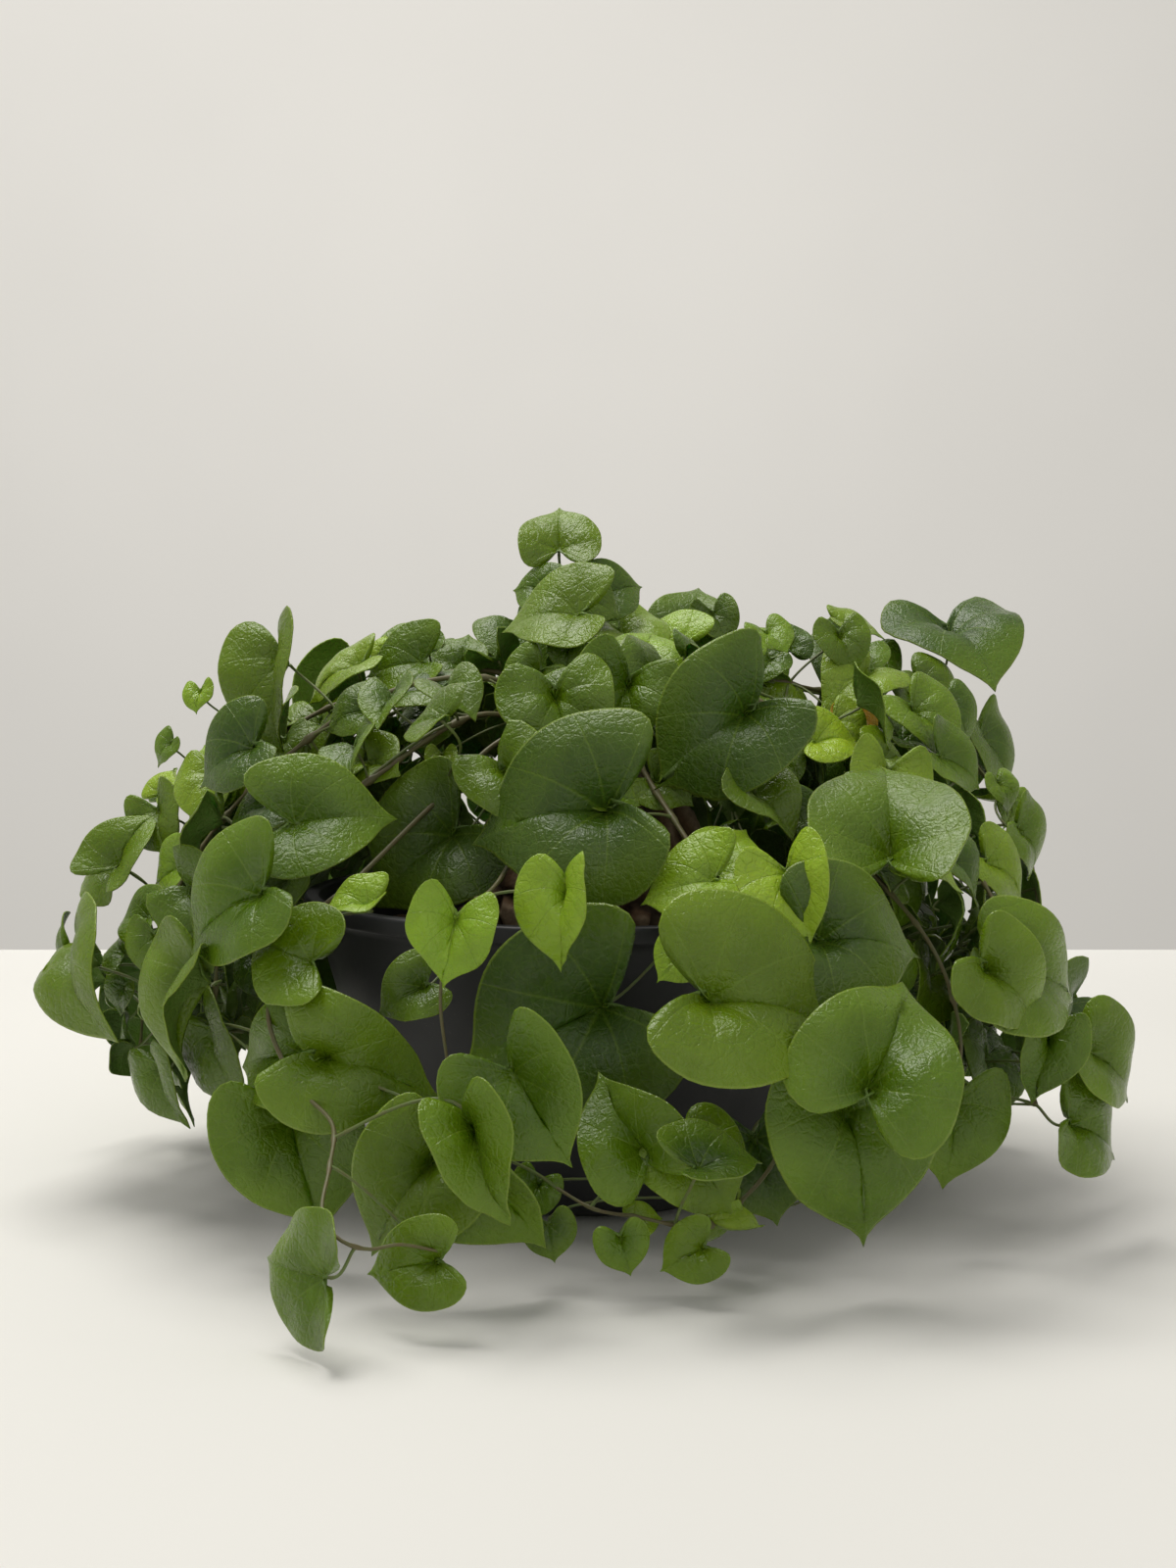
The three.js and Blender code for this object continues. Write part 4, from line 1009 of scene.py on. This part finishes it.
def bed_tree():
    tree, wire, sizes = geometry_tree("strew_mix", {
        "Chips": 26000.0, "Grit": 90000.0, "Roughness": 0.003, "Seed": 3,
        "Chip": "Object", "Crumb": "Object", "Finish": "Material",
    })
    place = wire.shape("InputPosition")
    height = wire.add("ShaderNodeSeparateXYZ", {0: place}).outputs[2]
    on_top = wire.math("GREATER_THAN", height, soil_top - 3.0 * MM)
    lumps = wire.shade("TexNoise", {"Vector": place, "Scale": 190.0, "Detail": 5.0, "Roughness": 0.6})
    lift = wire.times(wire.math("SUBTRACT", lumps, 0.5), sizes["Roughness"])
    offset = wire.shade("CombineXYZ", {2: wire.times(lift, on_top)})
    bed_top = wire.shape("SetPosition", {"Geometry": sizes["Geometry"], "Offset": offset})
    strewn = [bed_top]
    for label, shape, least, most in (("Chips", "Chip", 0.5, 1.5), ("Grit", "Crumb", 0.4, 1.4)):
        strewing = {"Mesh": bed_top, "Selection": on_top, "Density": sizes[label], "Seed": sizes["Seed"]}
        spots = wire.add("GeometryNodeDistributePointsOnFaces", strewing).outputs["Points"]
        model = wire.add("GeometryNodeObjectInfo", {"Object": sizes[shape]}).outputs["Geometry"]
        turning = {"Min": (-0.7, -0.7, 0), "Max": (0.7, 0.7, 6.28), "Seed": sizes["Seed"]}
        turn = wire.add("FunctionNodeRandomValue", turning, data_type="FLOAT_VECTOR").outputs[0]
        size, shade = [
            wire.add("FunctionNodeRandomValue", {2: low, 3: high, "Seed": seed}, data_type="FLOAT").outputs[1]
            for low, high, seed in ((least, most, sizes["Seed"]), (0.0, 1.0, 9))
        ]
        settling = {"Points": spots, "Instance": model, "Rotation": turn, "Scale": size}
        bits = wire.keep(wire.shape("InstanceOnPoints", settling), "shade", shade, "INSTANCE")
        strewn.append(wire.shape("RealizeInstances", {"Geometry": bits}))
    mixed = wire.shape("SetMaterial", {"Geometry": wire.join(*strewn), "Material": sizes["Finish"]})
    wire.add("NodeGroupOutput", {"Geometry": mixed})
    return tree


def chip_shape(name, length, width, height, seed):
    """A small broken block."""
    shape = bmesh.new()
    bmesh.ops.create_icosphere(shape, subdivisions=1, radius=0.5)
    dice = random.Random(seed)
    for corner in shape.verts:
        corner.co *= dice.uniform(0.8, 1.15)
        corner.co = Vector((corner.co.x * length, corner.co.y * width, corner.co.z * height))
    return bpy.data.objects.new(name, settled(shape, name))


def mix_finish():
    made, wire, shader = new_material("potting_mix")
    shade = attribute(wire, "shade")
    grain = noise(wire, 900.0, 3.0, 0.6)
    colour = wire.blend(shade, DAMP, DRY)
    colour = wire.blend(wire.ramp(shade, 0.88, 0.95), colour, PALE_BIT)
    # Patches of the fine grain are painted dark as crevice shade.
    colour = wire.blend(wire.ramp(grain, 0.35, 0.7, 0.0, 0.6), colour, CREVICE_SHADE)
    wire.plug(shader, {"Base Color": colour, "Normal": wire.bump(grain, 0.6, 0.0004), "Roughness": 0.95})
    return made


chip = chip_shape("chip", 6 * MM, 3.6 * MM, 1.8 * MM, 1)
crumb = chip_shape("crumb", 1.9 * MM, 1.6 * MM, 1.3 * MM, 2)
mix = grow(bed, bed_tree(), {"Chip": chip, "Crumb": crumb, "Finish": mix_finish()})
for shape in (chip, crumb):
    bpy.data.objects.remove(shape)
piece("potting_mix_bed", mix, "potting_mix", "soil")
print("mix has", len(mix.polygons), "faces")

# %% [markdown]
# ## The pot
# The pot is a plain black moulded bowl with a rolled band round its rim and drainage holes in its foot. A
# bowl is a shape of revolution, so a profile with finely rounded corners is turned about the axis, and the
# holes are cut through the floor.

# %% Turn the bowl
FOOT_RADIUS = 40 * MM
POT_WALL = 2.6 * MM
POT_FLOOR = 3 * MM
RIM_BAND = 5 * MM
RIM_LIP = 1.8 * MM
DRAIN_HOLES, DRAIN_RADIUS, DRAIN_CIRCLE = 5, 4 * MM, 24 * MM
EDGE = 1 * MM  # the rounding of every edge of the rim
BOWL_SIDES = 144
BLACK, GREY, SPECK = (0.016, 0.016, 0.018), (0.05, 0.05, 0.052), (0.12, 0.115, 0.105)
rim_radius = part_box("pot")[1].x - RIM_LIP
pot_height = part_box("pot")[1].z


def bowl_radius(height):
    return FOOT_RADIUS + (rim_radius - FOOT_RADIUS) * math.sqrt(max(0, height) / pot_height)


def arc(middle_r, middle_z, radius, start, end, steps=6):
    turns = np.radians(np.linspace(start, end, steps))
    return [(middle_r + radius * math.cos(turn), middle_z + radius * math.sin(turn)) for turn in turns]


band_foot = pot_height - RIM_BAND
bowl_profile = [(0, 1.2 * MM), (34 * MM, 1.2 * MM), (35 * MM, 0), (FOOT_RADIUS - 1 * MM, 0)]
bowl_profile += [(bowl_radius(z), z) for z in np.linspace(0.6 * MM, band_foot, 34)]
bowl_profile += arc(rim_radius + RIM_LIP - EDGE, band_foot + EDGE, EDGE, -90, 0)
bowl_profile += arc(rim_radius + RIM_LIP - EDGE, pot_height - EDGE, EDGE, 0, 90)
bowl_profile += arc(rim_radius - POT_WALL + EDGE, pot_height - EDGE, EDGE, 90, 180)
bowl_profile += [
    (bowl_radius(share * pot_height) - POT_WALL, POT_FLOOR + share * (pot_height - POT_FLOOR))
    for share in np.linspace(0.98, 0.02, 30)
]
bowl_profile += [(FOOT_RADIUS - POT_WALL, POT_FLOOR), (0, POT_FLOOR)]
bowl = lathe("bowl", bowl_profile, BOWL_SIDES)


def drilled(mesh):
    """The bowl with its drainage holes cut."""
    drills = bmesh.new()
    for hole in range(DRAIN_HOLES):
        turn = 2 * math.pi * hole / DRAIN_HOLES
        place = Matrix.Translation((DRAIN_CIRCLE * math.cos(turn), DRAIN_CIRCLE * math.sin(turn), 0))
        size = {"radius1": DRAIN_RADIUS, "radius2": DRAIN_RADIUS, "depth": 12 * MM}
        bmesh.ops.create_cone(drills, cap_ends=True, segments=32, matrix=place, **size)
    body, drill = placed("bowl", mesh), placed("drills", settled(drills, "drills"))
    cut = body.modifiers.new("drain", "BOOLEAN")
    cut.operation = "DIFFERENCE"
    cut.solver = "EXACT"
    cut.object = drill
    made = evaluated(body)
    bpy.data.objects.remove(drill)
    return made


def pot_plastic():
    made, wire, shader = new_material("pot_plastic")
    specks = noise(wire, 700.0, 3.0, 0.6)
    smears = noise(wire, 28.0, 3.0, 0.55)
    colour = wire.blend(wire.ramp(smears, 0.4, 0.72, 0.0, 0.5), BLACK, GREY)
    colour = wire.blend(wire.ramp(specks, 0.66, 0.76, 0.0, 0.35), colour, SPECK)
    gloss = wire.times(smears, 0.25, 0.34)
    bump = wire.bump(specks, 0.25, 0.0002)
    wire.plug(shader, {"Base Color": colour, "Roughness": gloss, "Normal": bump})
    return made


bowl = drilled(bowl)
bowl.materials.append(pot_plastic())
smooth(bowl)
piece("bowl_pot", bowl, "pot", "pot")
print("bowl has", len(bowl.polygons), "faces")

# %% [markdown]
# ## Floor, light and camera
# The plant stands on a pale matt table, and a pale wall stands far behind it. Both have a faint grain.

# %% Table and wall
def pale_plaster(name, colour):
    made, wire, shader = new_material(name)
    grain = noise(wire, 120.0, 4.0, 0.6)
    darker = tuple(c * 0.94 for c in colour)
    tone = wire.blend(wire.ramp(noise(wire, 3.0), 0.3, 0.7, 0.0, 0.3), colour, darker)
    wire.plug(shader, {"Base Color": tone, "Normal": wire.bump(grain, 0.12, 0.0008), "Roughness": 0.75})
    return made


def panel(name, corners, finish):
    mesh = mesh_of(name, corners, [], [(0, 1, 2, 3)])
    mesh.materials.append(finish)
    made = placed(name, mesh)
    return made


TABLE_EDGE = 0.465
WALL_Y = 2.6
REACH = 4.0
SIDES = ((-REACH, -REACH), (REACH, -REACH), (REACH, REACH), (-REACH, REACH))
table_finish = pale_plaster("table_paint", (0.80, 0.79, 0.76))
wall_finish = pale_plaster("wall_paint", (0.80, 0.785, 0.755))
panel("table", [(x, min(y, TABLE_EDGE), 0) for x, y in SIDES], table_finish)
panel("wall", [(x, WALL_Y, z) for x, z in SIDES], wall_finish)

# %% [markdown]
# The main light is a soft one from above, a little from behind and to the left, so the table shades off to
# the front and right of the pot. A weak lamp from the front lifts the shadows, and a third one lights the
# wall behind the table.

# %% Light
WARM_WHITE = (1.0, 0.985, 0.95)
ROOM_GLOW = 0.45


def area_light(name, place, aim, size, power, colour):
    lamp = bpy.data.lights.new(name, "AREA")
    lamp.shape = "RECTANGLE"
    lamp.size, lamp.size_y = size
    lamp.energy = power
    lamp.color = colour
    made = placed(name, lamp)
    made.location = place
    made.rotation_euler = (Vector(aim) - Vector(place)).to_track_quat("-Z", "Y").to_euler()


area_light("ceiling_window", (-0.35, 0.25, 1.35), (0, 0, 0.05), (1.0, 0.8), 15.5, (1.0, 0.98, 0.93))
area_light("room_fill", (0.6, -1.6, 1.1), (0, 0, 0.1), (1.6, 1.2), 4, WARM_WHITE)
area_light("wall_washer", (-0.3, 1.3, 1.2), (-0.1, WALL_Y, 0.2), (2.6, 1.6), 17, WARM_WHITE)
world = bpy.data.worlds.new("soft_room")
world.use_nodes = True
background = world.node_tree.nodes["Background"].inputs
background["Color"].default_value = (*WARM_WHITE, 1)
background["Strength"].default_value = ROOM_GLOW
bpy.context.scene.world = world
bpy.context.scene.view_settings.view_transform = "Standard"

# %% [markdown]
# The camera stands in front of the plant, a little above the rim of the pot, and looks slightly down.

# %% Camera
LENS = 54
EYE = (0, -0.695, 0.174)
TILT = math.radians(85.5)  # from straight down
camera = placed("camera", bpy.data.cameras.new("camera"))
camera.data.lens = LENS
camera.location = EYE
camera.rotation_euler = (TILT, 0, 0)
bpy.context.scene.camera = camera

# %% [markdown]

# %% Bring the scene up to date
bpy.context.view_layer.update()
